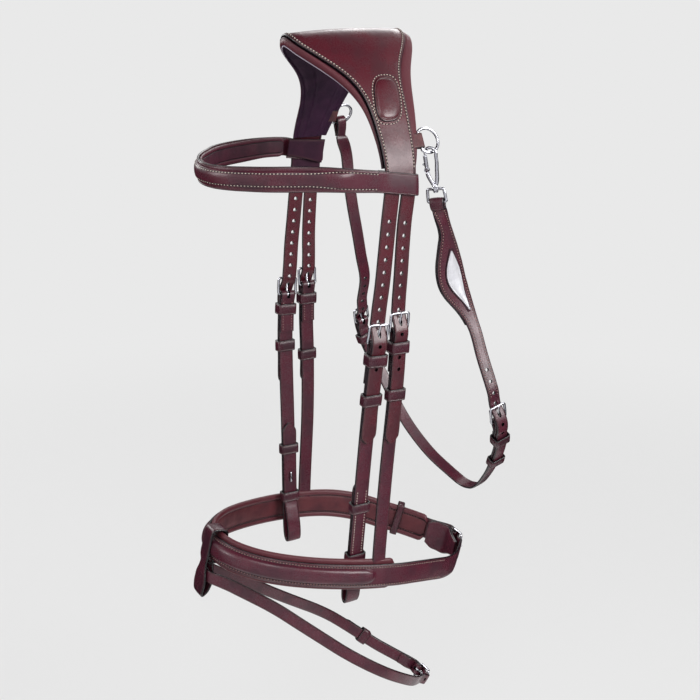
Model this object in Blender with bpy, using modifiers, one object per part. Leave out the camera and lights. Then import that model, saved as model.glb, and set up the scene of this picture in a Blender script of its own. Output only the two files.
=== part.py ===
# A leather bridle with a flash noseband, hung in the shape it takes on a horse's head.
# Metres, +Z up.  The horse faces -Y and its left (near) side is +X.
# The origin lies under the middle of the crown, where the bridle rests on the poll.

import math

import bmesh
import bpy
import numpy as np
from mathutils import Matrix, Vector

# Driving dimensions, in metres

MM = 0.001
GAP = 0.0003                  # clearance between pieces that touch
LEATHER = 0.0026              # thickness of strap leather
THIN_LEATHER = 0.0018         # thickness of keepers and folded loops
CHEEK_HALF = 0.0083           # half width of the cheek straps
HANGER_HALF = 0.0078          # half width of the noseband hanger straps
THROAT_HALF = 0.0068          # half width of the throatlatch
FLASH_HALF = 0.0065           # half width of the flash strap
CHIN_HALF = 0.0115            # half width of the chin billet
NOSE_HALF = 0.0127            # half height of the noseband leather
BROW_HALF = 0.0125            # half height of the browband
HOLE_PITCH = 0.012            # spacing of the punched holes
HOLE_RADIUS = 0.0019          # radius of the punched holes
HOLES_PER_BILLET = 13
WIRE = 0.0014                 # radius of the buckle wire
FOLD_OUTER = 0.0041           # outer radius of the leather fold round a buckle bar
FOLD_INNER = 0.0018           # inner radius of that fold
TONGUE_WIRE = 0.0009          # radius of a buckle tongue
BUCKLE_REACH = 0.018          # from a buckle's bar to its opposite bar
BUCKLE_LIFT = 0.002           # how far the opposite bar stands out from the bar
RING_WIRE = 0.0015            # radius of the D-ring wire
CROWN_SPLIT_Z = -0.130        # height at which the crown splits into two straps a side

# Colours (base colour, roughness, metallic)

STRAP_LOOK = ((0.105, 0.040, 0.050), 0.42, 0.0)
CROWN_LOOK = ((0.120, 0.035, 0.042), 0.40, 0.0)
LINING_LOOK = ((0.160, 0.055, 0.052), 0.50, 0.0)
INNER_LOOK = ((0.040, 0.020, 0.042), 0.55, 0.0)
EDGE_LOOK = ((0.060, 0.024, 0.032), 0.38, 0.0)
STEEL_LOOK = ((0.78, 0.78, 0.80), 0.16, 1.0)

for old in list(bpy.data.objects):
    bpy.data.objects.remove(old, do_unlink=True)

PARTS = bpy.data.collections.new("bridle")
CUTTERS = bpy.data.collections.new("bridle_cutters")
bpy.context.scene.collection.children.link(PARTS)
bpy.context.scene.collection.children.link(CUTTERS)


# Objects, materials and cutters

def material(name, look):
    colour, roughness, metallic = look
    mat = bpy.data.materials.new(name + "_surface")
    mat.use_nodes = True
    shader = mat.node_tree.nodes["Principled BSDF"]
    shader.inputs["Base Color"].default_value = (*colour, 1.0)
    shader.inputs["Roughness"].default_value = roughness
    shader.inputs["Metallic"].default_value = metallic
    return mat


def add_part(name, mesh, look, matrix=None):
    obj = bpy.data.objects.new(name, mesh)
    mesh.materials.clear()
    mesh.materials.append(material(name, look))
    PARTS.objects.link(obj)
    if matrix is not None:
        obj.matrix_world = matrix
    return obj


def add_tool(name, mesh, matrix=None):
    obj = bpy.data.objects.new(name, mesh)
    CUTTERS.objects.link(obj)
    obj.hide_render = True
    obj.display_type = "WIRE"
    if matrix is not None:
        obj.matrix_world = matrix
    return obj


def boolean(obj, tool, operation, solver="EXACT"):
    mod = obj.modifiers.new(tool.name, "BOOLEAN")
    mod.operation = operation
    mod.solver = solver
    mod.object = tool
    return mod


def mesh_from_bmesh(name, bm):
    bmesh.ops.recalc_face_normals(bm, faces=bm.faces)
    mesh = bpy.data.meshes.new(name)
    bm.to_mesh(mesh)
    bm.free()
    return mesh


def mesh_from_curve(curve_obj, name):
    """Turn a curve into a closed mesh and remove the curve."""
    bpy.context.view_layer.update()
    graph = bpy.context.evaluated_depsgraph_get()
    mesh = bpy.data.meshes.new_from_object(curve_obj.evaluated_get(graph))
    mesh.name = name
    bm = bmesh.new()
    bm.from_mesh(mesh)
    bmesh.ops.remove_doubles(bm, verts=bm.verts, dist=0.00001)
    bmesh.ops.recalc_face_normals(bm, faces=bm.faces)
    bm.to_mesh(mesh)
    bm.free()
    curve = curve_obj.data
    bpy.data.objects.remove(curve_obj, do_unlink=True)
    bpy.data.curves.remove(curve)
    return mesh


# Routes: smooth curves through a few points of the real strap

def smooth_rows(rows, per_span=10):
    """Centripetal Catmull-Rom curve.  The first three columns are the position."""
    pts = np.array(rows, float)
    pts = np.vstack([2 * pts[0] - pts[1], pts, 2 * pts[-1] - pts[-2]])
    out = []
    for i in range(1, len(pts) - 2):
        p = pts[i - 1:i + 3]
        knots = [0.0]
        for a, b in zip(p[:-1], p[1:]):
            knots.append(knots[-1] + max(np.linalg.norm((b - a)[:3]), 1e-6) ** 0.5)
        t0, t1, t2, t3 = knots
        for k in range(per_span):
            t = t1 + (t2 - t1) * k / per_span
            a1 = (t1 - t) / (t1 - t0) * p[0] + (t - t0) / (t1 - t0) * p[1]
            a2 = (t2 - t) / (t2 - t1) * p[1] + (t - t1) / (t2 - t1) * p[2]
            a3 = (t3 - t) / (t3 - t2) * p[2] + (t - t2) / (t3 - t2) * p[3]
            b1 = (t2 - t) / (t2 - t0) * a1 + (t - t0) / (t2 - t0) * a2
            b2 = (t3 - t) / (t3 - t1) * a2 + (t - t1) / (t3 - t1) * a3
            out.append((t2 - t) / (t2 - t1) * b1 + (t - t1) / (t2 - t1) * b2)
    out.append(pts[-2])
    return np.array(out)


def thin_rows(rows, tolerance):
    """Drop rows that lie on the straight line between their neighbours."""
    keep = {0, len(rows) - 1}
    stack = [(0, len(rows) - 1)]
    while stack:
        first, last = stack.pop()
        if last - first < 2:
            continue
        span = rows[last] - rows[first]
        length = np.dot(span, span)
        inside = rows[first + 1:last] - rows[first]
        along = np.clip(inside @ span / max(length, 1e-18), 0, 1)
        off = np.linalg.norm(inside - along[:, None] * span, axis=1)
        worst = int(np.argmax(off))
        if off[worst] > tolerance:
            keep.add(first + 1 + worst)
            stack += [(first, first + 1 + worst), (first + 1 + worst, last)]
    return rows[sorted(keep)]


class Route:
    """A strap's middle line with its width direction and half width."""

    def __init__(self, rows, tolerance=0.00018, per_span=10):
        dense = smooth_rows(rows, per_span)
        weighted = dense.copy()
        weighted[:, 3:6] *= 0.004
        picked = thin_rows(weighted, tolerance)
        picked[:, 3:6] /= 0.004
        self.at = picked[:, 0:3]
        tangent = np.gradient(self.at, axis=0)
        self.along = tangent / np.linalg.norm(tangent, axis=1)[:, None]
        side = picked[:, 3:6]
        side = side - (side * self.along).sum(1)[:, None] * self.along
        self.side = side / np.linalg.norm(side, axis=1)[:, None]
        self.half = picked[:, 6]
        self.out = np.cross(self.side, self.along)
        steps = np.linalg.norm(np.diff(self.at, axis=0), axis=1)
        self.run = np.concatenate([[0.0], np.cumsum(steps)])

    def frame(self, distance):
        """Matrix at a distance along the route: X width, Y along, Z outward."""
        column = [np.interp(distance, self.run, self.at[:, i]) for i in range(3)]
        along = np.array([np.interp(distance, self.run, self.along[:, i]) for i in range(3)])
        side = np.array([np.interp(distance, self.run, self.side[:, i]) for i in range(3)])
        along /= np.linalg.norm(along)
        side -= along * (side @ along)
        side /= np.linalg.norm(side)
        return axes_matrix(column, side, along)

    def distance_at(self, axis, value):
        """Distance along the route where a coordinate reaches a value."""
        row = self.at[:, axis]
        for i in range(len(row) - 1):
            low, high = row[i], row[i + 1]
            if (low - value) * (high - value) <= 0 and low != high:
                return self.run[i] + (value - low) / (high - low) * (self.run[i + 1] - self.run[i])
        return self.run[-1]


def axes_matrix(origin, x_axis, y_axis):
    x = Vector(x_axis).normalized()
    y = Vector(y_axis)
    y = (y - x * y.dot(x)).normalized()
    z = x.cross(y)
    mat = Matrix((x, y, z)).transposed().to_4x4()
    mat.translation = Vector(origin)
    return mat


def flip(point, sign):
    return (point[0] * sign, point[1], point[2])


# Straps

def strap_mesh(name, route, columns=1, dome=0.0):
    """An open strip along the route, still without thickness."""
    count = len(route.at)
    bm = bmesh.new()
    bmesh.ops.create_grid(bm, x_segments=count - 1, y_segments=columns, size=0.5)
    for vert in bm.verts:
        i = round((vert.co.x + 0.5) * (count - 1))
        q = 2.0 * round((vert.co.y + 0.5) * columns) / columns - 1.0
        place = route.at[i] + route.side[i] * route.half[i] * q
        vert.co = Vector(place + route.out[i] * dome * (1 - q * q))
    mesh = bpy.data.meshes.new(name)
    bm.to_mesh(mesh)
    bm.free()
    return mesh


def thicken(obj, thickness):
    mod = obj.modifiers.new("thickness", "SOLIDIFY")
    mod.thickness = thickness
    mod.offset = 0.0
    mod.use_even_offset = True
    return mod


def strap(name, route, look, thickness=LEATHER, columns=1, dome=0.0):
    obj = add_part(name, strap_mesh(name, route, columns, dome), look)
    thicken(obj, thickness)
    return obj


def strap_tool(name, route, thickness=LEATHER):
    obj = add_tool(name, strap_mesh(name, route))
    thicken(obj, thickness)
    return obj


def section_mesh(name, route, section):
    """A closed solid lofted along a route.  section(i) gives (width, outward) points."""
    bm = bmesh.new()
    rings = []
    for i in range(len(route.at)):
        ring = []
        for across, outward in section(i):
            place = route.at[i] + route.side[i] * across + route.out[i] * outward
            ring.append(bm.verts.new(Vector(place)))
        rings.append(ring)
    for first, second in zip(rings[:-1], rings[1:]):
        for k in range(len(first)):
            n = (k + 1) % len(first)
            bm.faces.new((first[k], first[n], second[n], second[k]))
    bm.faces.new(rings[0][::-1])
    bm.faces.new(rings[-1])
    return mesh_from_bmesh(name, bm)


# Punched holes

def punch(obj, frames, radius=HOLE_RADIUS, depth=0.007):
    """Cut round holes, one at each frame.  A frame may carry a stretch along its Y."""
    bm = bmesh.new()
    for frame, stretch in frames:
        mat = frame @ Matrix.Diagonal((1.0, stretch, 1.0, 1.0))
        bmesh.ops.create_cone(bm, cap_ends=True, segments=6, radius1=radius,
                              radius2=radius, depth=depth, matrix=mat)
    tool = add_tool(obj.name + "_punch", mesh_from_bmesh(obj.name + "_punch", bm))
    boolean(obj, tool, "DIFFERENCE")


def box_tool(name, matrix, low, high):
    bm = bmesh.new()
    bmesh.ops.create_cube(bm, size=1.0)
    size = [h - l for l, h in zip(low, high)]
    mid = [(h + l) / 2 for l, h in zip(low, high)]
    for vert in bm.verts:
        vert.co = Vector([vert.co[i] * size[i] + mid[i] for i in range(3)])
    return add_tool(name, mesh_from_bmesh(name, bm), matrix)


def rod_mesh(name, radius, half_length, sides=12):
    """A cylinder along the local X axis."""
    bm = bmesh.new()
    bmesh.ops.create_cone(bm, cap_ends=True, segments=sides, radius1=radius, radius2=radius,
                          depth=2 * half_length, matrix=Matrix.Rotation(math.pi / 2, 4, "Y"))
    return mesh_from_bmesh(name, bm)


# Wire pieces and flat rings from curves

def wire_mesh(name, points, radius, cyclic=False, resolution=2):
    curve = bpy.data.curves.new(name, "CURVE")
    curve.dimensions = "3D"
    curve.bevel_depth = radius
    curve.bevel_resolution = resolution
    curve.use_fill_caps = not cyclic
    line = curve.splines.new("POLY")
    line.points.add(len(points) - 1)
    for spot, place in zip(line.points, points):
        spot.co = (*place, 1.0)
    line.use_cyclic_u = cyclic
    obj = bpy.data.objects.new(name, curve)
    PARTS.objects.link(obj)
    return mesh_from_curve(obj, name)


def flat_mesh(name, outlines, half_depth):
    """Flat outlines (the first outer, the rest holes) extruded along local Z."""
    curve = bpy.data.curves.new(name, "CURVE")
    curve.dimensions = "2D"
    curve.fill_mode = "BOTH"
    curve.extrude = half_depth
    for outline in outlines:
        line = curve.splines.new("POLY")
        line.points.add(len(outline) - 1)
        for spot, place in zip(line.points, outline):
            spot.co = (place[0], place[1], 0.0, 1.0)
        line.use_cyclic_u = True
    obj = bpy.data.objects.new(name, curve)
    PARTS.objects.link(obj)
    return mesh_from_curve(obj, name)


def rounded_box(x_low, x_high, y_low, y_high, radius, steps=3):
    points = []
    corners = ((x_high - radius, y_high - radius, 0), (x_low + radius, y_high - radius, 90),
               (x_low + radius, y_low + radius, 180), (x_high - radius, y_low + radius, 270))
    for cx, cy, start in corners:
        for k in range(steps + 1):
            angle = math.radians(start + 90 * k / steps)
            points.append((cx + radius * math.cos(angle), cy + radius * math.sin(angle)))
    return points


def keeper(name, frame, half, low, high, length, look=EDGE_LOOK, wall=THIN_LEATHER):
    """A leather loop round a strap.  frame: X width, Y along the strap, Z outward."""
    turn = Matrix(((1, 0, 0, 0), (0, 0, -1, 0), (0, 1, 0, 0), (0, 0, 0, 1)))
    inner = rounded_box(-half, half, low, high, 0.0006, 1)
    outer = rounded_box(-half - wall, half + wall, low - wall, high + wall, 0.0018, 2)
    mesh = flat_mesh(name, [outer, inner], length / 2)
    return add_part(name, mesh, look, frame @ turn)


# Buckles

def buckle_frame(name, frame, half, reach=BUCKLE_REACH, lift=BUCKLE_LIFT, wire=WIRE):
    """A wire rectangle in the frame's X-Y plane: one side is the bar on the X axis."""
    side = half + 0.0006 + wire
    points = []
    for across, along in rounded_box(-side, side, 0.0, reach, 0.0018, 2):
        bow = 0.0006 * math.sin(math.pi * along / reach)
        points.append((across, along, lift * along / reach + bow))
    return add_part(name, wire_mesh(name, points, wire, True, 1), STEEL_LOOK, frame)


def buckle_tongue(name, frame, reach=BUCKLE_REACH, lift=BUCKLE_LIFT, wire=WIRE):
    """An eye round the bar and a straight prong that rests on the opposite bar."""
    obj = add_part(name, rod_mesh(name, 0.0030, 0.0013, 10), STEEL_LOOK, frame)
    rest = lift + wire + TONGUE_WIRE + 0.0003
    end = reach + 0.0012
    slope = rest / reach
    start = 0.0022
    points = [(0, start, start * slope), (0, reach * 0.5, reach * 0.5 * slope),
              (0, end - 0.001, rest), (0, end, rest - 0.0002)]
    prong = add_tool(name + "_prong", wire_mesh(name + "_prong", points, TONGUE_WIRE, False, 1), frame)
    bore = add_tool(name + "_bore", rod_mesh(name + "_bore", 0.0018, 0.004, 10), frame)
    boolean(obj, prong, "UNION")
    boolean(obj, bore, "DIFFERENCE")
    return obj


def fold_on_bar(obj, frame, half, slot=True):
    """Give a strap end its fold round a bar, with the slot for a buckle's tongue."""
    name = f"{obj.name}_{len(obj.modifiers)}"
    fold = add_tool(name + "_fold", rod_mesh(name + "_fold", FOLD_OUTER, half - 0.0003, 16), frame)
    bore = add_tool(name + "_bore", rod_mesh(name + "_bore", FOLD_INNER, half + 0.01), frame)
    boolean(obj, fold, "UNION")
    boolean(obj, bore, "DIFFERENCE")
    if slot:
        cut = box_tool(name + "_slot", frame, (-0.0018, -0.0034, -0.006), (0.0018, 0.006, 0.006))
        boolean(obj, cut, "DIFFERENCE")


# How a billet passes its buckle: (along, outward) from the bar, with the billet coming from
# behind the far bar, through the frame and out over the fold

BILLET_PASS = ((0.034, -0.0012), (0.026, -0.0014), (0.018, -0.0013), (0.0135, 0.0003),
               (0.009, 0.0026), (0.0045, 0.0047), (0.0, 0.0059), (-0.005, 0.0057),
               (-0.010, 0.0045), (-0.016, 0.0039))
TONGUE_HOLE_ALONG = 0.0092


def billet_through(frame, passing=BILLET_PASS):
    """The billet's middle points past a buckle, in world space."""
    return [frame @ Vector((0.0, along, outward)) for along, outward in passing]


def rows_from(points, side, half):
    return [(*p, *side, half) for p in points]


def follow(route, start, stop, outward, half=None, step=0.012, turn=1):
    """Rows along part of a route, moved outward.  With turn -1 they face the other way."""
    count = max(2, int(math.ceil(abs(stop - start) / step)) + 1)
    rows = []
    for distance in np.linspace(start, stop, count):
        frame = route.frame(distance)
        place = frame @ Vector((0, 0, outward))
        width = np.interp(distance, route.run, route.half) if half is None else half
        rows.append((*place, *(frame.col[0].xyz * turn), width))
    return rows


def point_tip(rows, length, width):
    """Narrow the last rows of a strap into a blunt point of the given width."""
    rows = [tuple(r) for r in rows]
    last = np.array(rows[-1])
    before = np.array(rows[-2])
    direction = last[:3] - before[:3]
    direction /= np.linalg.norm(direction)
    tip = last.copy()
    tip[:3] = last[:3] + direction * length
    tip[6] = width
    middle = last.copy()
    middle[:3] = last[:3] + direction * length * 0.55
    middle[6] = last[6] * 0.62 + width * 0.38
    return rows + [tuple(middle), tuple(tip)]


def buckle_matrix(place, toward, outward):
    """X is the bar, Y runs toward the incoming billet, Z outward."""
    toward = Vector(toward).normalized()
    bar = toward.cross(Vector(outward)).normalized()
    return axes_matrix(place, bar, toward)


# The crown: an arch in the X-Z plane, wide at the poll and cut back for the ears

ARCH_POINTS = ((0, 0), (17, -8.5), (39, -29.5), (57, -52), (72, -76), (85, -102), (90, -130), (91, -150))
FRONT_LOW, FRONT_SWELL, FRONT_SPREAD = -0.016, -0.053, 0.046
REAR_LOW, REAR_SLOPE, REAR_SWELL, REAR_SPREAD = 0.0168, 0.012, 0.0262, 0.036
PAD_FRONT_LOW, PAD_FRONT_SWELL, PAD_FRONT_SPREAD = -0.0175, -0.0535, 0.052
PAD_REAR_LOW, PAD_REAR_SLOPE, PAD_REAR_SWELL, PAD_REAR_SPREAD = 0.018, 0.022, 0.0232, 0.040
ARCH_RUN = 0.1463             # arc length from the poll to the browband
CROWN_ROWS = 11
CROWN_HEIGHT_TOP = 0.0102     # padding underside to leather middle, at the poll
CROWN_HEIGHT_LOW = 0.0042     # the same at the browband
CROWN_DROP = 0.0025           # how far the crown's edges fall below its middle
CROWN_FLAT_RUN = 0.118        # where the crown has become flat across
PAD_LOW_Z = {1: -0.1062, -1: -0.1012}      # the padding's lower ends, above the browband

mirrored = [(-x * MM, 0.0, z * MM) for x, z in ARCH_POINTS[:0:-1]]
mirrored += [(x * MM, 0.0, z * MM) for x, z in ARCH_POINTS]
arch = Route([(*p, 0.0, 1.0, 0.0, 0.01) for p in mirrored], tolerance=0.00002)
ARCH_MIDDLE = arch.distance_at(0, 0.0)


def crown_height(run):
    share = min(abs(run) / ARCH_RUN, 1.0)
    return CROWN_HEIGHT_TOP + (CROWN_HEIGHT_LOW - CROWN_HEIGHT_TOP) * share


def crown_point(run, y, height, middle_y=0.0, half=1.0):
    """A point over the arch: run along it from the poll (near side positive)."""
    frame = arch.frame(ARCH_MIDDLE + run)
    normal = frame.col[2].xyz
    if normal.z < 0 or (abs(normal.z) < 0.3 and normal.x * run < 0):
        normal = -normal
    share = (y - middle_y) / half
    drop = CROWN_DROP * max(0.0, 1.0 - (run / CROWN_FLAT_RUN) ** 2)
    place = frame.translation + normal * (height - drop * share * share)
    return Vector((place.x, y, place.z))


def crown_run_at(z):
    """Arc length from the poll down to a height."""
    return ARCH_MIDDLE - arch.distance_at(2, z)


def bell(run, spread):
    return math.exp(-(run / spread) ** 2)


def leather_front(run):
    return FRONT_LOW + FRONT_SWELL * bell(run, FRONT_SPREAD)


def leather_rear(run):
    share = max(1 - abs(run) / ARCH_RUN, 0)
    return REAR_LOW + REAR_SLOPE * share + REAR_SWELL * bell(run, REAR_SPREAD)


def pad_front(run):
    return PAD_FRONT_LOW + PAD_FRONT_SWELL * bell(run, PAD_FRONT_SPREAD)


def pad_rear(run):
    share = max(1 - (run / ARCH_RUN) ** 2, 0)
    return PAD_REAR_LOW + PAD_REAR_SLOPE * share + PAD_REAR_SWELL * bell(run, PAD_REAR_SPREAD)


def crown_surface(run, y, height):
    """A point at a height above the arch, on the crown's gently domed top."""
    front, rear = pad_front(run), pad_rear(run)
    return crown_point(run, y, height, (front + rear) / 2, (rear - front) / 2)


# Side lines: the near side's cheek and hanger lines (the far side mirrors them)

CHEEK_TOP = ((92.2, -9.3, -130), (92.2, -12.0, -153), (92.5, -15.6, -186), (92.8, -18.8, -214))
CHEEK_LINE = ((93.0, -24.9, -270), (92.0, -27.2, -295), (89.5, -30, -329), (86.5, -32.3, -370),
              (82.5, -34.5, -420), (78, -37, -480), (76, -38, -505), (73.5, -39, -540),
              (71.5, -39.6, -575))
HANGER_TOP = ((92.2, 8.6, -130), (92.2, 5.2, -156), (92.3, 3.2, -182), (92.3, 1.9, -206))
HANGER_LINE = ((92.4, -0.3, -262), (92.1, -1.8, -300), (91.5, -3, -336), (90.8, -5.5, -380),
               (89.9, -8, -420), (89.0, -11.5, -470), (88.5, -13.7, -505), (88.4, -14.6, -534))


# How far each lower strap hangs rearward of the drawn line, on the near and far side
SWAY = {("cheek", 1): 0.0, ("cheek", -1): 2.6, ("hanger", 1): -4.0, ("hanger", -1): 4.6}


def side_rows(points, sign, half, sway=0.0):
    rows = []
    for x, y, z in points:
        aside = sway * min(1.0, max(0.0, (-z - 290) / 110.0))
        rows.append((x * MM * sign, (y + aside) * MM, z * MM, 0.0, -1.0 * sign, 0.0, half))
    return rows


def crown_leather():
    """Crown, and the two billets that it splits into on each side, cut from one piece."""
    runs = [ARCH_RUN * k / CROWN_ROWS for k in range(-CROWN_ROWS, CROWN_ROWS + 1)]
    verts, faces = [], []

    def add_row(points):
        first = len(verts)
        verts.extend([tuple(p) for p in points])
        return list(range(first, first + len(points)))

    def join(a, b):
        for k in range(len(a) - 1):
            faces.append((a[k], a[k + 1], b[k + 1], b[k]))

    def split_row(sign):
        row = []
        for rows, half in ((CHEEK_TOP, CHEEK_HALF), (HANGER_TOP, HANGER_HALF)):
            x, y, z = rows[0]
            for q in (-1, 0, 1):
                row.append((x * MM * sign, y * MM + q * half, z * MM))
        return row

    grid = []
    for run in runs:
        front, rear = leather_front(run), leather_rear(run)
        share = min(abs(run) / ARCH_RUN, 1.0)
        middle = (front + rear) / 2 * (1 - share) - 0.0003 * share
        spread = 0.0006 + 0.0004 * share
        columns = [front, (front + middle) / 2, middle - spread, middle + spread,
                   (middle + rear) / 2, rear]
        grid.append(add_row([crown_surface(run, y, crown_height(run)) for y in columns]))
    far_split = add_row(split_row(-1))
    near_split = add_row(split_row(1))
    grid = [far_split] + grid + [near_split]
    for a, b in zip(grid[:-1], grid[1:]):
        join(a, b)

    holes = []
    routes = {}
    for sign, split in ((-1, far_split), (1, near_split)):
        for which, part in (("cheek", split[:3]), ("hanger", split[3:])):
            route, spots = billet_route(which, sign)
            routes[(which, sign)] = route
            holes += spots
            previous = part
            for i in range(1, len(route.at)):
                half = route.half[i]
                row = [route.at[i] - route.side[i] * half * sign * q for q in (-1, 1)]
                current = add_row(row)
                faces.append((*previous, *current[::-1]))
                previous = current

    mesh = bpy.data.meshes.new("headpiece_leather")
    mesh.from_pydata(verts, [], faces)
    bm = bmesh.new()
    bm.from_mesh(mesh)
    bmesh.ops.recalc_face_normals(bm, faces=bm.faces)
    bm.to_mesh(mesh)
    bm.free()
    obj = add_part("headpiece_leather", mesh, CROWN_LOOK)
    thicken(obj, LEATHER)
    punch(obj, holes)
    return obj, routes


side_base = {}
side_buckle = {}
for sign in (1, -1):
    for which, line, top in (("cheek", CHEEK_LINE, CHEEK_TOP), ("hanger", HANGER_LINE, HANGER_TOP)):
        half = CHEEK_HALF if which == "cheek" else HANGER_HALF
        side_base[(which, sign)] = Route(side_rows(line, sign, half, SWAY[(which, sign)]),
                                         tolerance=0.00005)
        bar = Vector(flip([c * MM for c in line[0]], sign))
        above = Vector(flip([c * MM for c in top[-1]], sign))
        side_buckle[(which, sign)] = buckle_matrix(bar, above - bar, (sign, 0, 0))


def billet_route(which, sign):
    """The middle line of a billet from the crown's split to its tip, and its holes."""
    top = CHEEK_TOP if which == "cheek" else HANGER_TOP
    half = CHEEK_HALF if which == "cheek" else HANGER_HALF
    base = side_base[(which, sign)]
    frame = side_buckle[(which, sign)]
    side = (0.0, -1.0 * sign, 0.0)
    rows = side_rows(top, sign, half)
    rows += rows_from(billet_through(frame, BILLET_PASS[:-1]), side, half)
    tip_z = -0.366 if which == "cheek" else -0.370
    start = base.distance_at(2, frame.translation.z - 0.016)
    rows += follow(base, start, base.distance_at(2, tip_z), 0.0039, half, 0.03)
    rows = point_tip(rows, 0.007, 0.0022)
    route = Route(rows, tolerance=0.00014)
    used = route.distance_at(2, (frame @ Vector((0, TONGUE_HOLE_ALONG, 0))).z)
    in_use = 9 if which == "cheek" else 8
    spots = []
    for k in range(HOLES_PER_BILLET):
        distance = used + (k - in_use) * HOLE_PITCH
        spots.append((route.frame(distance), 2.35 if k == in_use else 1.0))
    return route, spots


headpiece, billet_routes = crown_leather()


def crown_padding():
    """The padded lining under the crown, with a rolled edge front and rear."""
    runs = [ARCH_RUN * k / CROWN_ROWS for k in range(-CROWN_ROWS + 2, CROWN_ROWS - 1)]
    runs = [-crown_run_at(PAD_LOW_Z[-1]), *runs, crown_run_at(PAD_LOW_Z[1])]
    bm = bmesh.new()
    rings = []
    for run in runs:
        front, rear = pad_front(run), pad_rear(run)
        top = crown_height(run) - LEATHER / 2 - 2 * GAP
        inner_front, inner_rear = leather_front(run), leather_rear(run)
        outline = [(front + 0.0030, 0.0), (front + 0.0006, 0.0010), (front, top * 0.5),
                   (front + 0.0010, top - 0.0002), (inner_front - 0.0006, top + 0.0006),
                   (inner_front + 0.0008, top)]
        for q in (0.25, 0.5, 0.75):
            outline.append((inner_front + (inner_rear - inner_front) * q, top))
        outline += [(inner_rear - 0.0008, top), (inner_rear + 0.0006, top + 0.0006),
                    (rear - 0.0010, top - 0.0002), (rear, top * 0.5),
                    (rear - 0.0006, 0.0010), (rear - 0.0030, 0.0), ((front + rear) / 2, 0.0)]
        rings.append([bm.verts.new(crown_surface(run, y, height)) for y, height in outline])
    for a, b in zip(rings[:-1], rings[1:]):
        for k in range(len(a)):
            n = (k + 1) % len(a)
            bm.faces.new((a[k], a[n], b[n], b[k]))
    bm.faces.new(rings[0][::-1])
    bm.faces.new(rings[-1])
    return add_part("headpiece_padding", mesh_from_bmesh("headpiece_padding", bm), INNER_LOOK)


padding = crown_padding()

# Raised ovals on the outside of the crown

OVAL_RUN, OVAL_Y = 0.0795, 0.0025
OVAL_LENGTH, OVAL_WIDTH, OVAL_SLANT, OVAL_RISE = 0.0235, 0.0125, 0.20, 0.0030


def crown_oval(name, sign):
    """A raised padded oval, joined to the crown."""
    bm = bmesh.new()
    levels = ((1.0, -0.45), (1.0, 0.25), (0.93, 0.62), (0.75, 0.9), (0.4, 1.0))
    rings = []
    for size, rise in levels:
        ring = []
        for k in range(20):
            angle = 2 * math.pi * k / 20
            cx, cy = math.cos(angle), math.sin(angle)
            power = (abs(cx) ** 2.6 + abs(cy) ** 2.6) ** (-1 / 2.6)
            run = OVAL_RUN + OVAL_LENGTH * cx * power * size
            y = OVAL_Y + OVAL_WIDTH * cy * power * size - OVAL_SLANT * (run - OVAL_RUN)
            height = crown_height(run) + LEATHER / 2 + OVAL_RISE * rise
            ring.append(bm.verts.new(crown_surface(run * sign, y, height)))
        rings.append(ring)
    for a, b in zip(rings[:-1], rings[1:]):
        for k in range(len(a)):
            n = (k + 1) % len(a)
            bm.faces.new((a[k], a[n], b[n], b[k]))
    bm.faces.new(rings[0][::-1])
    bm.faces.new(rings[-1])
    boolean(headpiece, add_tool(name, mesh_from_bmesh(name, bm)), "UNION")


crown_oval("near_crown_oval", 1)
crown_oval("far_crown_oval", -1)

# Ring tabs and D-rings at the crown's rear edge

TAB_Z = {1: -0.0860, -1: -0.0805}
TAB_Y = {1: 0.0290, -1: 0.0255}
TAB_HALF, TAB_FOLD, TAB_THICK = 0.0070, 0.0033, 0.0018
RING_RADIUS, RING_CENTRE = 0.0118, 0.0076
RING_STEPS = 14


def tab_frame(sign):
    """X along the ring's bar, Y toward the horse's face, Z outward."""
    run = crown_run_at(TAB_Z[sign])
    height = crown_height(run) - LEATHER / 2 - 4 * GAP - TAB_THICK / 2
    here = crown_surface(run, TAB_Y[sign] - 0.012, height)
    below = crown_surface(run + 0.004, TAB_Y[sign] - 0.012, height)
    down = below - here
    place = Vector((here.x * sign, TAB_Y[sign], here.z))
    down = Vector((down.x * sign, 0.0, down.z)).normalized()
    return axes_matrix(place, down * -sign, (0, -1, 0))


def ring_tab(name, sign):
    frame = tab_frame(sign)
    bm = bmesh.new()
    bmesh.ops.create_cube(bm, size=1.0)
    for vert in bm.verts:
        vert.co = Vector((vert.co.x * 2 * TAB_HALF, vert.co.y * 0.018 + 0.0105,
                          vert.co.z * TAB_THICK))
    obj = add_part(name, mesh_from_bmesh(name, bm), EDGE_LOOK, frame)
    fold = add_tool(name + "_fold", rod_mesh(name + "_fold", TAB_FOLD, TAB_HALF, 14), frame)
    bore = add_tool(name + "_bore", rod_mesh(name + "_bore", RING_WIRE + 0.0003, 0.02), frame)
    boolean(obj, fold, "UNION")
    boolean(obj, bore, "DIFFERENCE")
    clear = box_tool(name + "_clear", frame, (-0.0126, -0.006, -0.0042), (0.0126, 0.0202, 0.005))
    boolean(padding, clear, "DIFFERENCE")
    return frame


def d_ring(name, frame):
    """Round wire with a straight side, which lies in the tab."""
    points = []
    start = math.asin(RING_CENTRE / RING_RADIUS)
    for k in range(RING_STEPS + 1):
        angle = start - (math.pi + 2 * start) * k / RING_STEPS
        points.append((RING_RADIUS * math.cos(angle),
                       -RING_CENTRE + RING_RADIUS * math.sin(angle), 0.0))
    points.insert(0, (points[0][0] * 0.5, 0.0, 0.0))
    points.append((points[-1][0] * 0.5, 0.0, 0.0))
    return add_part(name, wire_mesh(name, points, RING_WIRE, cyclic=True), STEEL_LOOK, frame)


def ring_low(frame, sign, turn=0.0):
    """A low point of a D-ring's round side, turned rearward from the lowest one."""
    x = -sign * RING_RADIUS * math.cos(math.radians(turn))
    return frame @ Vector((x, -RING_CENTRE - RING_RADIUS * math.sin(math.radians(turn)), 0.0))


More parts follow.
